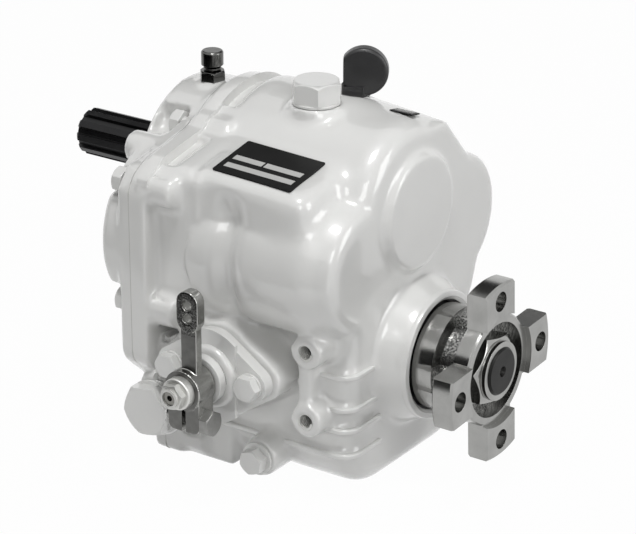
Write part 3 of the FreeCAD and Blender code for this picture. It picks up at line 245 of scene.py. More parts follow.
forgedSet = {"color": "#AFAFAD", "shade": "#4C4C4B", "roughness": (0.16, 0.4),
             "scale": 1.5 * mm, "depth": 0.4 * mm, "strength": 0.55,
             "grit": 0.6 * mm, "gritDepth": 0.12 * mm, "gritStrength": 0.4,
             "fleck": 1.1 * mm, "fleckSpan": (0.36, 0.6)}


def forgedMetal(name, settings):
    # drop-forged steel, zinc plated as forged: a hammered, gritty skin that glitters
    s = settings
    material, tree, shader = newMaterial(name, {"Metallic": 1.0})
    place = objectPlace(tree)
    span = {"From Min": s["fleckSpan"][0], "From Max": s["fleckSpan"][1]}
    spots = speckle(tree, place, s["fleck"], 4.0)
    fleck = addNode(tree, "MapRange", span, {"Value": spots}).outputs["Result"]
    tintBetween(tree, shader, fleck, s["color"], s["shade"])
    roughBetween(tree, shader, fleck, *s["roughness"])
    scale = speckle(tree, place, s["scale"], 3.0)
    grit = speckle(tree, place, s["grit"])
    lumps = bumpWith(tree, shader, scale, s["depth"], s["strength"])
    bumpWith(tree, shader, grit, s["gritDepth"], s["gritStrength"], lumps)
    return material


blackSet = {"color": "#1B1B1C", "shade": "#2B2B2C", "steel": "#A3A29E", "roughness": (0.3, 0.45),
            "cloud": 9 * mm, "grit": 0.5 * mm, "depth": 0.03 * mm, "strength": 0.35,
            "edge": -4 * mm, "blend": 1 * mm}


def blackedShaft():
    # hot-blackened hardened steel on the open spline, ground bright where seal and bearings run
    s = blackSet
    oiled = {"Metallic": 0.85, "Coat Weight": 0.2, "Coat Roughness": 0.25}
    material, tree, shader = newMaterial("blackedSteel", oiled)
    place = objectPlace(tree)
    cloud = speckle(tree, place, s["cloud"], 3.0)
    dark = mixedColors(tree, cloud, s["color"], s["shade"])
    along = addNode(tree, "SeparateXYZ", None, {"Vector": place})
    inside = addNode(tree, "MapRange", {"From Min": s["edge"], "From Max": s["edge"] + s["blend"]},
                     {"Value": along.outputs["X"]})
    mix = addNode(tree, "MixRGB", {"Color2": linearColor(s["steel"])},
                  {"Fac": inside.outputs["Result"], "Color1": dark})
    tree.links.new(mix.outputs["Color"], shader.inputs["Base Color"])
    roughBetween(tree, shader, cloud, *s["roughness"])
    bumpWith(tree, shader, speckle(tree, place, s["grit"]), s["depth"], s["strength"])
    return material


groundSet = {"stretch": (0.08, 1.0, 1.0), "cloud": 8 * mm, "depth": 0.01 * mm, "strength": 0.4}


def groundMetal(name, color, shade, roughness, grain):
    # ground or drawn metal: fine scratches that run one way, stretched along X
    s = groundSet
    material, tree, shader = newMaterial(name, {"Metallic": 1.0})
    place = objectPlace(tree)
    stretched = addNode(tree, "Mapping", {"Scale": s["stretch"]}, {"Vector": place})
    scratch = speckle(tree, stretched.outputs["Vector"], grain, 4.0)
    cloud = speckle(tree, place, s["cloud"], 3.0)
    tintBetween(tree, shader, cloud, color, shade)
    roughBetween(tree, shader, scratch, *roughness)
    bumpWith(tree, shader, scratch, s["depth"], s["strength"])
    return material


platedSet = {"cloud": 4 * mm, "grain": 1.1 * mm, "depth": 0.02 * mm, "strength": 0.3}


def platedMetal(name, color, shade, roughness):
    # plating on a pressed, turned or forged part: clean metal with a faint cloudy bloom
    s = platedSet
    material, tree, shader = newMaterial(name, {"Metallic": 1.0})
    place = objectPlace(tree)
    cloud = speckle(tree, place, s["cloud"], 4.0)
    tintBetween(tree, shader, cloud, color, shade)
    roughBetween(tree, shader, cloud, *roughness)
    bumpWith(tree, shader, speckle(tree, place, s["grain"]), s["depth"], s["strength"])
    return material


mouldedSet = {"cloud": 9 * mm, "strength": 0.35}


def mouldedPlastic(name, color, shade, roughness, grain, depth, gloss=0.5):
    # moulded rubber, nylon, foil or fibre board: non-metal with a fine even grain
    s = mouldedSet
    material, tree, shader = newMaterial(name, {"IOR": 1.5, "Specular IOR Level": gloss})
    place = objectPlace(tree)
    cloud = speckle(tree, place, s["cloud"], 3.0)
    tintBetween(tree, shader, cloud, color, shade)
    roughBetween(tree, shader, cloud, *roughness)
    bumpWith(tree, shader, speckle(tree, place, grain), depth, s["strength"])
    return material


outputAxis = tuple((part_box("output_flange")[0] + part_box("output_flange")[1]) / 2)
paint = castPaint()
turnedSteel = turnedMetal("turnedSteel", machinedSet, outputAxis, "X")
leverSteelSet = dict(forgedSet, color="#747472", shade="#2B2B2A", scale=0.8 * mm,
                     depth=0.15 * mm, fleck=0.6 * mm)
forgedSteel = forgedMetal("forgedSteel", forgedSet)
oiledSet = dict(machinedSet, color="#2C2C2B", shade="#202020", roughness=(0.3, 0.42))
oiledSteel = turnedMetal("oiledSteel", oiledSet, outputAxis, "X")
leverSteel = forgedMetal("leverSteel", leverSteelSet)
blackedSteel = blackedShaft()
shaftSteel = groundMetal("groundShaftSteel", "#8F8E8A", "#777672", (0.18, 0.3), 0.5 * mm)
gearSteel = groundMetal("gearSteel", "#8C8A86", "#6F6D6A", (0.22, 0.36), 0.6 * mm)
bearingSteel = groundMetal("bearingSteel", "#A8A7A3", "#95948F", (0.12, 0.22), 0.4 * mm)
bronze = groundMetal("leadedBronze", "#B08A52", "#96713F", (0.25, 0.38), 0.6 * mm)
zinc = platedMetal("zincPlate", "#C9C9C5", "#A9A9A6", (0.2, 0.34))
paleZinc = platedMetal("dullZincPlate", "#DADAD7", "#C6C6C3", (0.42, 0.55))
nickel = platedMetal("blackNickelPlate", "#6E6E6C", "#4E4E4D", (0.12, 0.24))
armSteel = platedMetal("smoothForging", "#7A7A78", "#5C5C5A", (0.3, 0.42))
clampSteel = platedMetal("clampBoltPlate", "#9C9C9A", "#757573", (0.26, 0.4))
brightSteel = platedMetal("brightForging", "#B4B4B1", "#8F8F8D", (0.16, 0.3))
sealRubber = mouldedPlastic("sealRubber", "#161615", "#1F1F1E", (0.45, 0.6), 0.6 * mm, 0.02 * mm)
nylon = mouldedPlastic("blackNylon", "#1E1E1F", "#282829", (0.3, 0.42), 0.7 * mm, 0.03 * mm)
fibre = mouldedPlastic("gasketFibre", "#C9C9C5", "#BDBDB9", (0.6, 0.75), 0.5 * mm, 0.03 * mm)
labelFoil = mouldedPlastic("blackLabelFoil", "#080808", "#0D0D0D", (0.42, 0.5), 0.5 * mm, 0.01 * mm,
                           gloss=0.22)
bySlot = {"case_paint": paint, "bare_steel": shaftSteel, "dark_steel": blackedSteel,
          "zinc_steel": zinc, "gear_steel": gearSteel, "bearing_steel": bearingSteel,
          "bronze": bronze, "seal_rubber": sealRubber, "gasket_paper": fibre,
          "black_plastic": nylon, "label_black": labelFoil}
slotOf = {part["node"]: part["material_slot"] for part in frame["record"]["subparts"]}
bodies = frame["record"]["behaviour"]["bodies"]
bodyOf = {node: body for body, group in bodies.items() for node in group}
for node, slot in slotOf.items():
    dress(nodes[node], bySlot[slot])
print("stage: materials")


def standBeside(piece, node, material):
    # a new piece joins one solid's body and takes the material given
    dress(piece, material)
    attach(piece, bodyOf[node])


def standFor(piece, node, material):
    # a new piece takes the place of one solid
    standBeside(piece, node, material)
    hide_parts(node)


def smoothByAngle(piece, angle=32):
    makeActive(piece)
    bpy.ops.object.shade_smooth_by_angle(angle=radians(angle))


# Cast housing: creases are filled to the radius that a casting has, then the joint faces, the seal
# bore and the boss holes are cut again

castSet = {"voxel": 1.25 * mm, "wide": 4.0 * mm, "tight": 1.2 * mm, "ramp": 8 * mm,
           "front": 60 * mm, "rear": 143 * mm, "low": -64 * mm, "smooth": 4,
           "triangles": 190000, "angle": 50}
# ramps along -Y, X, -X and Z, each with the place where it starts and the place where it is full
shoulderSet = {"depth": 5.0 * mm, "side": (44 * mm, 54 * mm), "front": (56 * mm, 62 * mm),
               "rear": (-146 * mm, -138 * mm), "low": (-56 * mm, -48 * mm)}
flareSet = {"smooth": 100, "front": (106 * mm, 118 * mm), "rear": (-147 * mm, -141 * mm),
            "low": (-52 * mm, -44 * mm)}
valleySet = {"x": 84 * mm, "width": 7 * mm, "depth": 7 * mm, "low": -60 * mm, "lowRamp": 22 * mm,
             "high": 24 * mm, "highRamp": 16 * mm, "side": -60 * mm, "sideRamp": 12 * mm}
grooveSet = {"start": 40.6 * mm, "end": 51.0 * mm, "wall": 0.4 * mm, "wallPart": (0.25, 0.75),
             "rise": 5.5 * mm, "depth": 3.6 * mm, "band": 33.2 * mm, "bandLift": 1.7 * mm,
             "upward": (0.3, 0.6), "sideways": 0.5, "boltClear": (9.3 * mm, 11.3 * mm),
             "middle": (0, -45 * mm)}
boltSet = {"crown": 0.4 * mm, "apart": 12 * mm}
# a face is square to X when its normal has this much of X
squareToX = 0.99


def between(value, low, high):
    return min(1.0, max(0.0, (value - low) / (high - low)))


def creaseWeight(x, y, z):
    # wide fillets on the lobes, tight ones at the joint flange, the rear face and the ribs
    s = castSet
    inside = min(between(x, s["front"] - s["ramp"], s["front"]),
                 between(-x, -s["rear"], -s["rear"] + s["ramp"]),
                 between(z, s["low"], s["low"] + s["ramp"]))
    least = s["tight"] / s["wide"]
    return least + (1 - least) * inside


def shoulderWeight(x, y, z):
    # the lobes of the lever side are pillows: their outer edges are round
    s = shoulderSet
    return min(between(-y, *s["side"]), between(x, *s["front"]), between(-x, *s["rear"]),
               between(z, *s["low"]))


def flareWeight(x, y, z):
    # the flare towards the rear face is one even sweep
    s = flareSet
    return min(between(x, *s["front"]), between(-x, *s["rear"]), between(z, *s["low"]))


def weightedModifier(piece, kind, settings, weightAt):
    # the modifier acts on each point as far as its weight says
    group = piece.vertex_groups.new(name="weights")
    for v in piece.data.vertices:
        group.add([v.index], weightAt(*v.co), "REPLACE")
    addModifier(piece, kind, dict(settings, vertex_group="weights"))
    piece.vertex_groups.clear()


def voxelMesh(piece, size):
    addModifier(piece, "REMESH", {"mode": "VOXEL", "voxel_size": size})


def thinOut(piece, triangles):
    count = sum(len(face.vertices) - 2 for face in piece.data.polygons)
    if count > triangles:
        addModifier(piece, "DECIMATE", {"decimate_type": "COLLAPSE", "ratio": triangles / count})


def pressValley(piece):
    # the pattern draws in between the two lobes of the lever side
    s = valleySet
    for v in piece.data.vertices:
        if v.co[1] < s["side"]:
            dip = exp(-((v.co[0] - s["x"]) / s["width"]) ** 2)
            dip *= between(v.co[2], s["low"], s["low"] + s["lowRamp"])
            dip *= between(-v.co[2], -s["high"], -s["high"] + s["highRamp"])
            v.co[1] += dip * s["depth"] * between(-v.co[1], -s["side"], -s["side"] + s["sideRamp"])


def boltPlaces():
    # centres of the case bolts, from the crowns of their heads
    s = boltSet
    mesh = nodes["case_bolts"].data
    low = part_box("case_bolts")[0][0]
    places = []
    for face in mesh.polygons:
        if face.normal[0] < -squareToX and face.center[0] < low + s["crown"]:
            spot = Vector((face.center[1], face.center[2]))
            if all((spot - other).length > s["apart"] for other in places):
                places.append(spot)
    return places


def pressGroove(piece):
    # the joint flange stands a little proud of the deck, and a shallow groove behind it is broken
    # where bolt bosses cross
    s = grooveSet
    bolts = boltPlaces()
    start, end = s["start"], s["end"]
    wallStart, wallEnd = [part * s["wall"] for part in s["wallPart"]]
    makeActive(piece)
    bpy.ops.object.mode_set(mode="EDIT")
    # cuts at both ends of each wall keep its edges crisp
    for plane in (s["band"], s["band"] + s["wall"], start, start + s["wall"]):
        bpy.ops.mesh.select_all(action="SELECT")
        bpy.ops.mesh.bisect(plane_co=(plane, 0, 0), plane_no=(1, 0, 0))
    endEdit()
    normals = [v.normal.copy() for v in piece.data.vertices]
    for v, normal in zip(piece.data.vertices, normals):
        x, y, z = v.co
        upward = between(normal[2], *s["upward"])
        lift = upward * min(between(x, s["band"] + wallStart, s["band"] + wallEnd),
                            between(-x, -start - wallEnd, -start - wallStart))
        v.co[1] += normal[1] * lift * s["bandLift"]
        v.co[2] += normal[2] * lift * s["bandLift"]
        dip = upward * min(between(x, start + wallStart, start + wallEnd),
                           between(-x, -end, -end + s["rise"]))
        if dip > 0:
            flat = Vector((normal[1], normal[2]))
            outward = flat.dot(Vector((y - s["middle"][0], z - s["middle"][1])))
            if outward > 0 and flat.length > s["sideways"]:
                clear = min((Vector((y, z)) - bolt).length for bolt in bolts)
                dip *= between(clear, *s["boltClear"])
                v.co[1] -= flat[0] * dip * s["depth"]
                v.co[2] -= flat[1] * dip * s["depth"]


def castShell():
    s = castSet
    piece = joinPieces([copyOfNode("castShell", "main_case"),
                        copyOfNode("coverCopy", "front_cover"),
                        copyOfNode("gasketCopy", "case_gasket")])
    voxelMesh(piece, s["voxel"])
    # out and back in fills the creases, then in and back out rounds the shoulders
    for strength, weightAt in ((s["wide"], creaseWeight), (-s["wide"], creaseWeight),
                               (-shoulderSet["depth"], shoulderWeight),
                               (shoulderSet["depth"], shoulderWeight)):
        weightedModifier(piece, "DISPLACE", {"strength": strength, "mid_level": 0.0}, weightAt)
        voxelMesh(piece, s["voxel"])
    pressValley(piece)
    addModifier(piece, "SMOOTH", {"factor": 0.5, "iterations": s["smooth"]})
    sweep = {"factor": 0.5, "iterations": flareSet["smooth"]}
    weightedModifier(piece, "SMOOTH", sweep, flareWeight)
    pressGroove(piece)
    return piece


def cutAway(piece, tool):
    addModifier(piece, "BOOLEAN", {"operation": "DIFFERENCE", "object": tool, "solver": "EXACT"})
    bpy.data.objects.remove(tool)


def castHalf(shell, name, plane, keepAbove):
    # one side of the split line, closed with a flat joint face
    piece = bpy.data.objects.new(name, shell.data.copy())
    bpy.context.scene.collection.objects.link(piece)
    piece.data.name = name
    startEdit(piece)
    bpy.ops.mesh.bisect(plane_co=(plane, 0, 0), plane_no=(1, 0, 0), use_fill=True,
                        clear_inner=keepAbove, clear_outer=not keepAbove)
    endEdit()
    lids = [face for face in piece.data.polygons
            if face.select and abs(face.normal[0]) > squareToX]
    lean = sum(face.normal[0] * face.area for face in lids)
    if (lean > 0 and keepAbove) or (lean < 0 and not keepAbove):
        # only the new face is selected, so only it is turned
        bpy.ops.object.mode_set(mode="EDIT")
        bpy.ops.mesh.flip_normals()
        endEdit()
    thinOut(piece, castSet["triangles"])
    return piece


def finishHalf(piece, node):
    smoothByAngle(piece, castSet["angle"])
    standFor(piece, node, paint)
    print(piece.name, len(piece.data.polygons))


bossSet = {"x": 130.3 * mm, "pitch": 40 * mm, "face": -77.0 * mm, "depth": 16 * mm,
           "hole": 4.25 * mm, "sides": 40, "over": 1 * mm}
sealSet = {"radius": 31.2 * mm, "depth": 13 * mm, "sides": 96, "over": 1 * mm}


def bossTools():
    s = bossSet
    tools = []
    for side in (-1, 1):
        z = outputAxis[2] + side * s["pitch"] / 2
        tools.append(cylinderBetween((s["x"], s["face"] - s["over"], z),
                                     (s["x"], s["face"] + s["depth"], z), s["hole"], s["sides"]))
    return tools


def sealTool():
    s = sealSet
    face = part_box("main_case")[1][0]
    z = outputAxis[2]
    return cylinderBetween((face - s["depth"], 0, z), (face + s["over"], 0, z),
                           s["radius"], s["sides"])


def castHousing():
    shell = castShell()
    case = castHalf(shell, "castCase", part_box("main_case")[0][0], True)
    cutAway(case, joinPieces(bossTools() + [sealTool()]))
    finishHalf(case, "main_case")
    cover = castHalf(shell, "castCover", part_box("front_cover")[1][0], False)
    finishHalf(cover, "front_cover")
    bpy.data.objects.remove(shell)


castHousing()
print("stage: cast housing")


# Painted and bare hardware: edges that the paint or the lathe leaves round

softSet = {"flat": 1.5, "angle": 40}


def softNode(name, node, width, material, segments=2):
    s = softSet
    piece = copyOfNode(name, node)
    addModifier(piece, "DECIMATE", {"decimate_type": "DISSOLVE", "angle_limit": radians(s["flat"])})
    addModifier(piece, "BEVEL", {"width": width, "segments": segments, "limit_method": "ANGLE",
                                 "angle_limit": radians(s["angle"]), "miter_outer": "MITER_ARC"})
    smoothByAngle(piece, s["angle"])
    addModifier(piece, "WEIGHTED_NORMAL", {"keep_sharp": True})
    standFor(piece, node, material)
    return piece


# edge widths in mm
paintedSet = {"shift_cover": 0.7, "case_bolts": 0.5, "shift_cover_bolts": 0.45,
              "shift_cover_washers": 0.3, "selector_sleeve": 0.6, "side_plug": 0.7,
              "side_plug_washer": 0.3, "drain_plug": 0.5, "drain_washer": 0.3, "filler_plug": 0.6,
              "filler_washer": 0.3, "dipstick_collar": 0.4}
for node, width in paintedSet.items():
    softNode("painted_" + node, node, width * mm, paint)
steelSet = {"lever_end_washer": (0.35, paleZinc), "lever_end_nut": (0.35, paleZinc),
            "breather_body": (0.3, nickel), "breather_cap": (0.4, nickel)}
for node, (width, metal) in steelSet.items():
    softNode("plated_" + node, node, width * mm, metal)
softNode("softNut", "output_nut", 0.45 * mm, turnedSteel)
softNode("softClampBolt", "lever_clamp_bolt", 0.6 * mm, clampSteel)
softNode("softSpline", "input_shaft", 0.35 * mm, blackedSteel)
softNode("softOutputShaft", "output_shaft", 0.3 * mm, oiledSteel)
print("stage: hardware")


# Shift lever: forged, with a gritty plated skin and soft edges

leverSet = {"voxel": 0.45 * mm, "smooth": 2, "head": -48.5 * mm, "sideways": 0.75}


def forgedLever():
    s = leverSet
    piece = copyOfNode("forgedLever", "shift_lever")
    voxelMesh(piece, s["voxel"])
    addModifier(piece, "SMOOTH", {"factor": 0.5, "iterations": s["smooth"]})
    makeActive(piece)
    bpy.ops.object.shade_smooth()
    standFor(piece, "shift_lever", leverSteel)
    # the head keeps the gritty skin, the edges are bright and the rest is drawn smooth
    piece.data.materials.append(brightSteel)
    piece.data.materials.append(armSteel)
    for face in piece.data.polygons:
        if abs(face.normal[1]) < s["sideways"]:
            face.material_index = 1
        elif face.center[2] < s["head"]:
            face.material_index = 2


forgedLever()


# Coupling flange: turned faces and bores, forged neck and arms

flangeSet = {"edge": 0.7 * mm, "neckRadius": 33 * mm, "neckEnd": 8.5 * mm, "neckStart": 24 * mm,
             "bore": -0.3, "back": -0.7}


def couplingFlange():
    # forged are the neck, but not its bore, and the backs of the arms
    s = flangeSet
    piece = softNode("couplingFlange", "output_flange", s["edge"], turnedSteel, 3)
    piece.data.materials.append(forgedSteel)
    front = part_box("output_flange")[1][0]
    for face in piece.data.polygons:
        x = face.center[0]
        y = face.center[1] - outputAxis[1]
        z = face.center[2] - outputAxis[2]
        fromAxis = sqrt(y ** 2 + z ** 2)
        outward = (face.normal[1] * y + face.normal[2] * z) / fromAxis
        alongNeck = front - s["neckStart"] < x < front - s["neckEnd"]
        neck = alongNeck and fromAxis < s["neckRadius"] and outward > s["bore"]
        if neck or (face.normal[0] < s["back"] and fromAxis > s["neckRadius"]):
            face.material_index = 1


couplingFlange()
print("stage: lever and coupling")


# Ribs that wrap the rear corner of the sump, and the turned rim of the seal bore

# each level has its height and its length along the side, in mm
ribSet = {"levels": ((-75.5, 20), (-94.5, 12), (-107, 14), (-121.8, 104)), "thick": 2.8 * mm,
          "stand": 3.4 * mm, "sunk": 1 * mm, "deep": 4.0 * mm, "corner": 11 * mm, "steps": 8,
          "run": 20 * mm, "edge": 0.7 * mm, "side": -62 * mm, "rear": 149.5 * mm}


def rib(level, length):
    # a small rectangle is drawn along the side, round the corner and along the rear wall
    s = ribSet
    outer = s["side"] - s["stand"]
    rear = s["rear"] + s["stand"] - s["sunk"]
    bpy.ops.mesh.primitive_plane_add(size=1, rotation=(0, pi / 2, 0))
    piece = bpy.context.object
    piece.scale = (s["thick"], s["deep"], 1)
    piece.location = (s["rear"] - length * mm, outer + s["deep"] / 2, level * mm)
    bpy.ops.object.transform_apply(location=True, rotation=True, scale=True)
    startEdit(piece)
    straight = rear - s["corner"] - (s["rear"] - length * mm)
    bpy.ops.mesh.extrude_region_move(TRANSFORM_OT_translate={"value": (straight, 0, 0)})
    bpy.ops.mesh.spin(steps=s["steps"], angle=-pi / 2, axis=(0, 0, 1), dupli=False,
                      center=(rear - s["corner"], outer + s["corner"], level * mm))
    bpy.ops.mesh.extrude_region_move(TRANSFORM_OT_translate={"value": (0, s["run"], 0)})
    weld()
    bpy.ops.mesh.normals_make_consistent(inside=False)
    endEdit()
    addModifier(piece, "BEVEL", {"width": s["edge"], "segments": 3, "limit_method": "ANGLE"})
    return piece


def ribs():
    piece = joinPieces([rib(level, length) for level, length in ribSet["levels"]])
    piece.name = "cornerRibs"
    smoothByAngle(piece)
    standBeside(piece, "main_case", paint)


def turnedPiece(name, profile, axisPlace, sides=96):
    # a profile of (distance along X, radius) is drawn point by point, then spun about the axis
    bpy.ops.mesh.primitive_plane_add(size=1 * mm)
    piece = bpy.context.object
    bpy.ops.object.mode_set(mode="EDIT")
    bpy.ops.mesh.merge(type="CENTER")
    bpy.ops.transform.translate(value=(profile[0][0], axisPlace[1], axisPlace[2] + profile[0][1]))
    for (x0, r0), (x1, r1) in zip(profile, profile[1:]):
        bpy.ops.mesh.extrude_vertices_move(TRANSFORM_OT_translate={"value": (x1 - x0, 0, r1 - r0)})
    bpy.ops.mesh.select_all(action="SELECT")
    bpy.ops.mesh.spin(steps=sides, angle=2 * pi, axis=(1, 0, 0), dupli=False,
                      center=(0, axisPlace[1], axisPlace[2]))
    weld()
    bpy.ops.mesh.normals_make_consistent(inside=False)
    endEdit()
    piece.name = name
    smoothByAngle(piece)
    return piece


# sizes in mm
rimSet = {"outer": 36.0, "lip": 32.4, "bore": 30.7, "deep": 9.0, "wide": 3.2}


def sealRim():
    # painted boss face with a chamfered bore that closes in on the hub; points are depth and radius
    s = rimSet
    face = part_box("main_case")[1][0]
    points = [(-s["deep"], s["bore"]), (-1.6, s["bore"]), (-0.9, s["bore"] + 0.7),
              (-0.6, s["lip"] - 0.3), (0.0, s["lip"] + 0.3), (0.0, s["outer"] - 0.9),
              (-0.3, s["outer"] - 0.3), (-0.9, s["outer"]), (-s["wide"], s["outer"] + 0.1),
              (-s["wide"] - 0.5, s["outer"] - 1.5), (-s["deep"], s["bore"] + 1.2),
              (-s["deep"], s["bore"])]
    piece = turnedPiece("sealRim", [(face + x * mm, r * mm) for x, r in points], outputAxis)
    standBeside(piece, "main_case", paint)


ribs()
sealRim()
print("stage: ribs and rim")


# Threads in the two side bosses

threadSet = {"pitch": 1.5 * mm, "height": 0.75 * mm, "turns": 9, "steps": 32, "start": 0.6 * mm,
             "sunk": 0.1 * mm, "angle": 40}


def bossThread(name, centre, radius):
    s = threadSet
    bpy.ops.mesh.primitive_circle_add(vertices=3, radius=s["height"], location=(radius, 0, 0),
                                      rotation=(pi / 2, 0, 0))
    piece = bpy.context.object
    placePiece(piece, name)
    addModifier(piece, "SCREW", {"angle": 2 * pi, "steps": s["steps"], "render_steps": s["steps"],
                                 "screw_offset": s["pitch"], "iterations": s["turns"],
                                 "use_merge_vertices": False})
    piece.matrix_world = Matrix.Translation(Vector(centre)) @ Matrix.Rotation(-pi / 2, 4, "X")
    placePiece(piece, name)
    startEdit(piece)
    bpy.ops.mesh.normals_make_consistent(inside=False)
    endEdit()
    smoothByAngle(piece, s["angle"])
    standBeside(piece, "main_case", paleZinc)


for side, label in ((-1, "lower"), (1, "upper")):
    start = (bossSet["x"], bossSet["face"] + threadSet["start"],
             outputAxis[2] + side * bossSet["pitch"] / 2)
    bossThread("thread_" + label, start, bossSet["hole"] + threadSet["sunk"])
print("stage: threads")


# Type plate: black foil with bare fields, set out in shares of its length and width

plateSet = {"thick": 0.06 * mm, "upward": 0.8,
            "fields": ((0.07, 0.44, 0.455, 0.585), (0.465, 0.93, 0.455, 0.585),
                       (0.07, 0.93, 0.70, 0.83))}


def plateAxes(node):
    # a corner of the plate's top face, its three directions, its length and its width
    mesh = nodes[node].data
    up = Vector((0, 0, 0))
    for face in mesh.polygons:
        if face.normal[2] > plateSet["upward"]:
            up += face.normal * face.area
    up.normalize()
    along = (Vector((1, 0, 0)) - up * up[0]).normalized()
    across = along.cross(up)
    reach = [[axis.dot(v.co) for v in mesh.vertices] for axis in (along, across, up)]
    corner = along * min(reach[0]) + across * min(reach[1]) + up * max(reach[2])
    return corner, along, across, up, max(reach[0]) - min(reach[0]), max(reach[1]) - min(reach[1])


def plateFields(name, node, settings):
    s = settings
    corner, along, across, up, length, width = plateAxes(node)
    bars = []
    for x0, x1, y0, y1 in s["fields"]:
        bpy.ops.mesh.primitive_cube_add(size=1)
        bar = bpy.context.object
        bar.scale = ((x1 - x0) * length, (y1 - y0) * width, s["thick"])
        bpy.ops.object.transform_apply(scale=True)
        startEdit(bar)
        bpy.ops.mesh.bevel(offset=s["thick"] / 3, segments=2)
        endEdit()
        middle = (corner + along * (x0 + x1) / 2 * length + across * (y0 + y1) / 2 * width
                  + up * s["thick"] / 2)
        turn = Matrix((along, -across, up)).transposed().to_4x4()
        bar.matrix_world = Matrix.Translation(middle) @ turn
        bars.append(bar)
    piece = joinPieces(bars)
    placePiece(piece, name)
    standBeside(piece, node, bareFoil)


bareFoil = mouldedPlastic("paleFoilField", "#C6C6C4", "#BABAB8", (0.35, 0.45), 0.5 * mm, 0.01 * mm)
plateFields("plateFields", "data_plate", plateSet)
smallPlateSet = dict(plateSet, fields=((0.1, 0.9, 0.2, 0.34), (0.1, 0.9, 0.5, 0.62)))
plateFields("smallPlateFields", "small_plate", smallPlateSet)
print("stage: plates")


# Dipstick grip: moulded disc with a sunk rounded square in its face

gripSet = {"edge": 1.1 * mm, "square": 12.5 * mm, "corner": 3.2 * mm, "sunk": 2.2 * mm,
           "ring": 10.6 * mm, "ringSunk": 0.8 * mm, "sides": 64, "lip": 0.35 * mm, "lipAngle": 50,
           "angle": 35, "toward": (0.56, -0.82), "level": 0.05 * mm}


def gripAxes():
    # centre of the disc's front face, and the way that it looks
    s = gripSet
    toward = Vector((*s["toward"], 0))
    mesh = nodes["dipstick_grip"].data
    best = max(mesh.polygons, key=lambda face: face.area * face.normal.dot(toward))
    normal = best.normal.copy()
    level = max(normal.dot(v.co) for v in mesh.vertices)
    front = [v.co for v in mesh.vertices if normal.dot(v.co) > level - s["level"]]
    least = Vector([min(c[i] for c in front) for i in range(3)])
    most = Vector([max(c[i] for c in front) for i in range(3)])
    return (least + most) / 2, normal


def grip():
    s = gripSet
    piece = softNode("grip", "dipstick_grip", s["edge"], nylon, 3)
    middle, normal = gripAxes()
    side = Vector((0, 0, 1)).cross(normal).normalized()
    facing = Matrix((side, normal.cross(side), normal)).transposed().to_4x4()
    bpy.ops.mesh.primitive_cylinder_add(vertices=s["sides"], radius=s["ring"],
                                        depth=2 * s["ringSunk"])
    ring = bpy.context.object
    bpy.ops.mesh.primitive_cube_add(size=1)
    square = bpy.context.object
    square.scale = (s["square"], s["square"], 2 * s["sunk"])
    bpy.ops.object.transform_apply(scale=True)
    addModifier(square, "BEVEL", {"width": s["corner"], "segments": 6, "limit_method": "ANGLE"})
    for tool in (ring, square):
        tool.matrix_world = Matrix.Translation(middle) @ facing
        bpy.context.view_layer.update()
        cutAway(piece, tool)
    addModifier(piece, "BEVEL", {"width": s["lip"], "segments": 2, "limit_method": "ANGLE",
                                 "angle_limit": radians(s["lipAngle"])})
    smoothByAngle(piece, s["angle"])


grip()
print("stage: grip")


# Camera: the photograph's view, from the lever side and above, behind the coupling

# aimPixel, focalPixels and width are in pixels of the photograph, the sensor is in mm
view = {"azimuth": 34.54, "elevation": 22.86, "distance": 1495.9 * mm,
        "aim": (205 * mm, 0, -79.5 * mm), "aimPixel": (183.3, -104.25), "focalPixels": 2800,
        "width": 636, "sensor": 36, "near": 50 * mm}


def addCamera():
    v = view
    azimuth, elevation = radians(v["azimuth"]), radians(v["elevation"])
    back = Vector((sin(azimuth) * cos(elevation), -cos(azimuth) * cos(elevation), sin(elevation)))
    right = Vector((cos(azimuth), sin(azimuth), 0))
    up = back.cross(right)
    shift = v["distance"] / v["focalPixels"]
    place = (Vector(v["aim"]) + back * v["distance"] - right * v["aimPixel"][0] * shift
             - up * v["aimPixel"][1] * shift)
    bpy.ops.object.camera_add(location=place)
    camera = bpy.context.object
    camera.rotation_euler = Matrix((right, up, back)).transposed().to_euler()
    camera.data.sensor_width = v["sensor"]
    camera.data.lens = v["focalPixels"] * v["sensor"] / v["width"]
    camera.data.clip_start = v["near"]
    bpy.context.scene.camera = camera


addCamera()


# Studio: white paper, area lamps and black cards

studioSet = {"floor": "#C8C8C8", "size": 8, "gap": 0.2 * mm, "world": 0.15, "paper": 0.98,
             "felt": "#0A0A0A"}


def seenDirectly(tree):
    # 1 for rays from the camera, from a reflection or through glass
    path = addNode(tree, "LightPath")
    first = addNode(tree, "Math", {"operation": "MAXIMUM"},
                    {0: path.outputs["Is Camera Ray"], 1: path.outputs["Is Glossy Ray"]})
    return addNode(tree, "Math", {"operation": "MAXIMUM"},
                   {0: first.outputs[0], 1: path.outputs["Is Transmission Ray"]}).outputs[0]


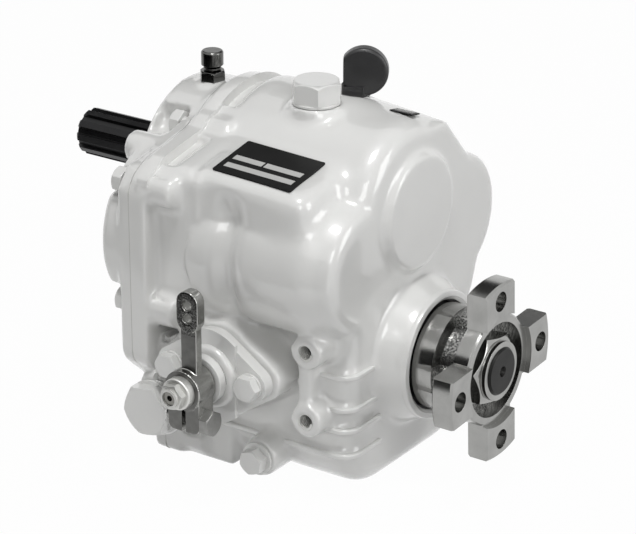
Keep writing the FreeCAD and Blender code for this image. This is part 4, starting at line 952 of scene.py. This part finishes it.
def addStudio():
    # white paper sweep: it looks pure white, and keeps a faint shadow under the part
    s = studioSet
    bpy.ops.mesh.primitive_plane_add(size=s["size"], location=(0, 0, cadBounds[0][2] - s["gap"]))
    floor = bpy.context.object
    floor.name = "floor"
    paper = {"Roughness": 0.9, "Base Color": linearColor(s["floor"])}
    material, tree, shader = newMaterial("floorPaper", paper)
    glow = addNode(tree, "Emission", {"Color": (1, 1, 1, 1), "Strength": 1.0})
    share = addNode(tree, "Math", {"operation": "MULTIPLY", 1: s["paper"]}, {0: seenDirectly(tree)})
    mix = addNode(tree, "MixShader", None,
                  {0: share.outputs[0], 1: shader.outputs[0], 2: glow.outputs[0]})
    tree.links.new(mix.outputs[0], tree.nodes["Material Output"].inputs["Surface"])
    dress(floor, material)
    world = bpy.data.worlds.new("studio")
    bpy.context.scene.world = world
    world.use_nodes = True
    sky = world.node_tree
    background = sky.nodes["Background"]
    level = addNode(sky, "MapRange", {"To Min": s["world"], "To Max": 1.0},
                    {"Value": seenDirectly(sky)})
    sky.links.new(level.outputs["Result"], background.inputs["Strength"])
    background.inputs["Color"].default_value = (1, 1, 1, 1)


def turnFrom(place, aim):
    return (Vector(place) - Vector(aim)).to_track_quat("Z", "Y").to_euler()


def addFlag(name, place, size, aim=(0.1, 0, -0.05)):
    # black card that only reflections see, as a studio sets beside bright metal
    bpy.ops.mesh.primitive_plane_add(size=1, location=place)
    card = bpy.context.object
    card.name = name
    card.scale = (*size, 1)
    card.rotation_euler = turnFrom(place, aim)
    felt = {"Roughness": 1.0, "Base Color": linearColor(studioSet["felt"])}
    dress(card, newMaterial(name + "Felt", felt)[0])
    card.visible_camera = False
    card.visible_diffuse = False
    card.visible_shadow = False


def addLamp(name, place, size, power, mirrored=True, aim=(0.07, 0, -0.05)):
    # one that isn't mirrored lights the part without showing in bright metal
    bpy.ops.object.light_add(type="AREA", location=place)
    lamp = bpy.context.object
    lamp.name = name
    lamp.data.shape = "RECTANGLE"
    lamp.data.size, lamp.data.size_y = size
    lamp.data.energy = power
    lamp.visible_glossy = mirrored
    lamp.rotation_euler = turnFrom(place, aim)


addStudio()
addLamp("keyBox", (0.25, -0.3, 1.15), (0.28, 0.28), 7.4)
addLamp("frontBox", (0.95, -1.05, 0.75), (0.5, 0.5), 3.6)
addLamp("sideBox", (1.3, 0.2, 0.45), (0.5, 0.8), 5.0)
addLamp("lowFill", (-0.35, -1.25, -0.02), (0.7, 0.35), 2.8, False)
addFlag("flagBehind", (-0.35, 1.15, 1.05), (2.6, 0.9))
addFlag("flagLeft", (-0.9, -1.3, 0.25), (1.6, 0.7))
addFlag("flagNear", (0.0, -0.34, 0.0), (0.9, 0.3))
bpy.context.scene.view_settings.view_transform = "Standard"

deselectAll()
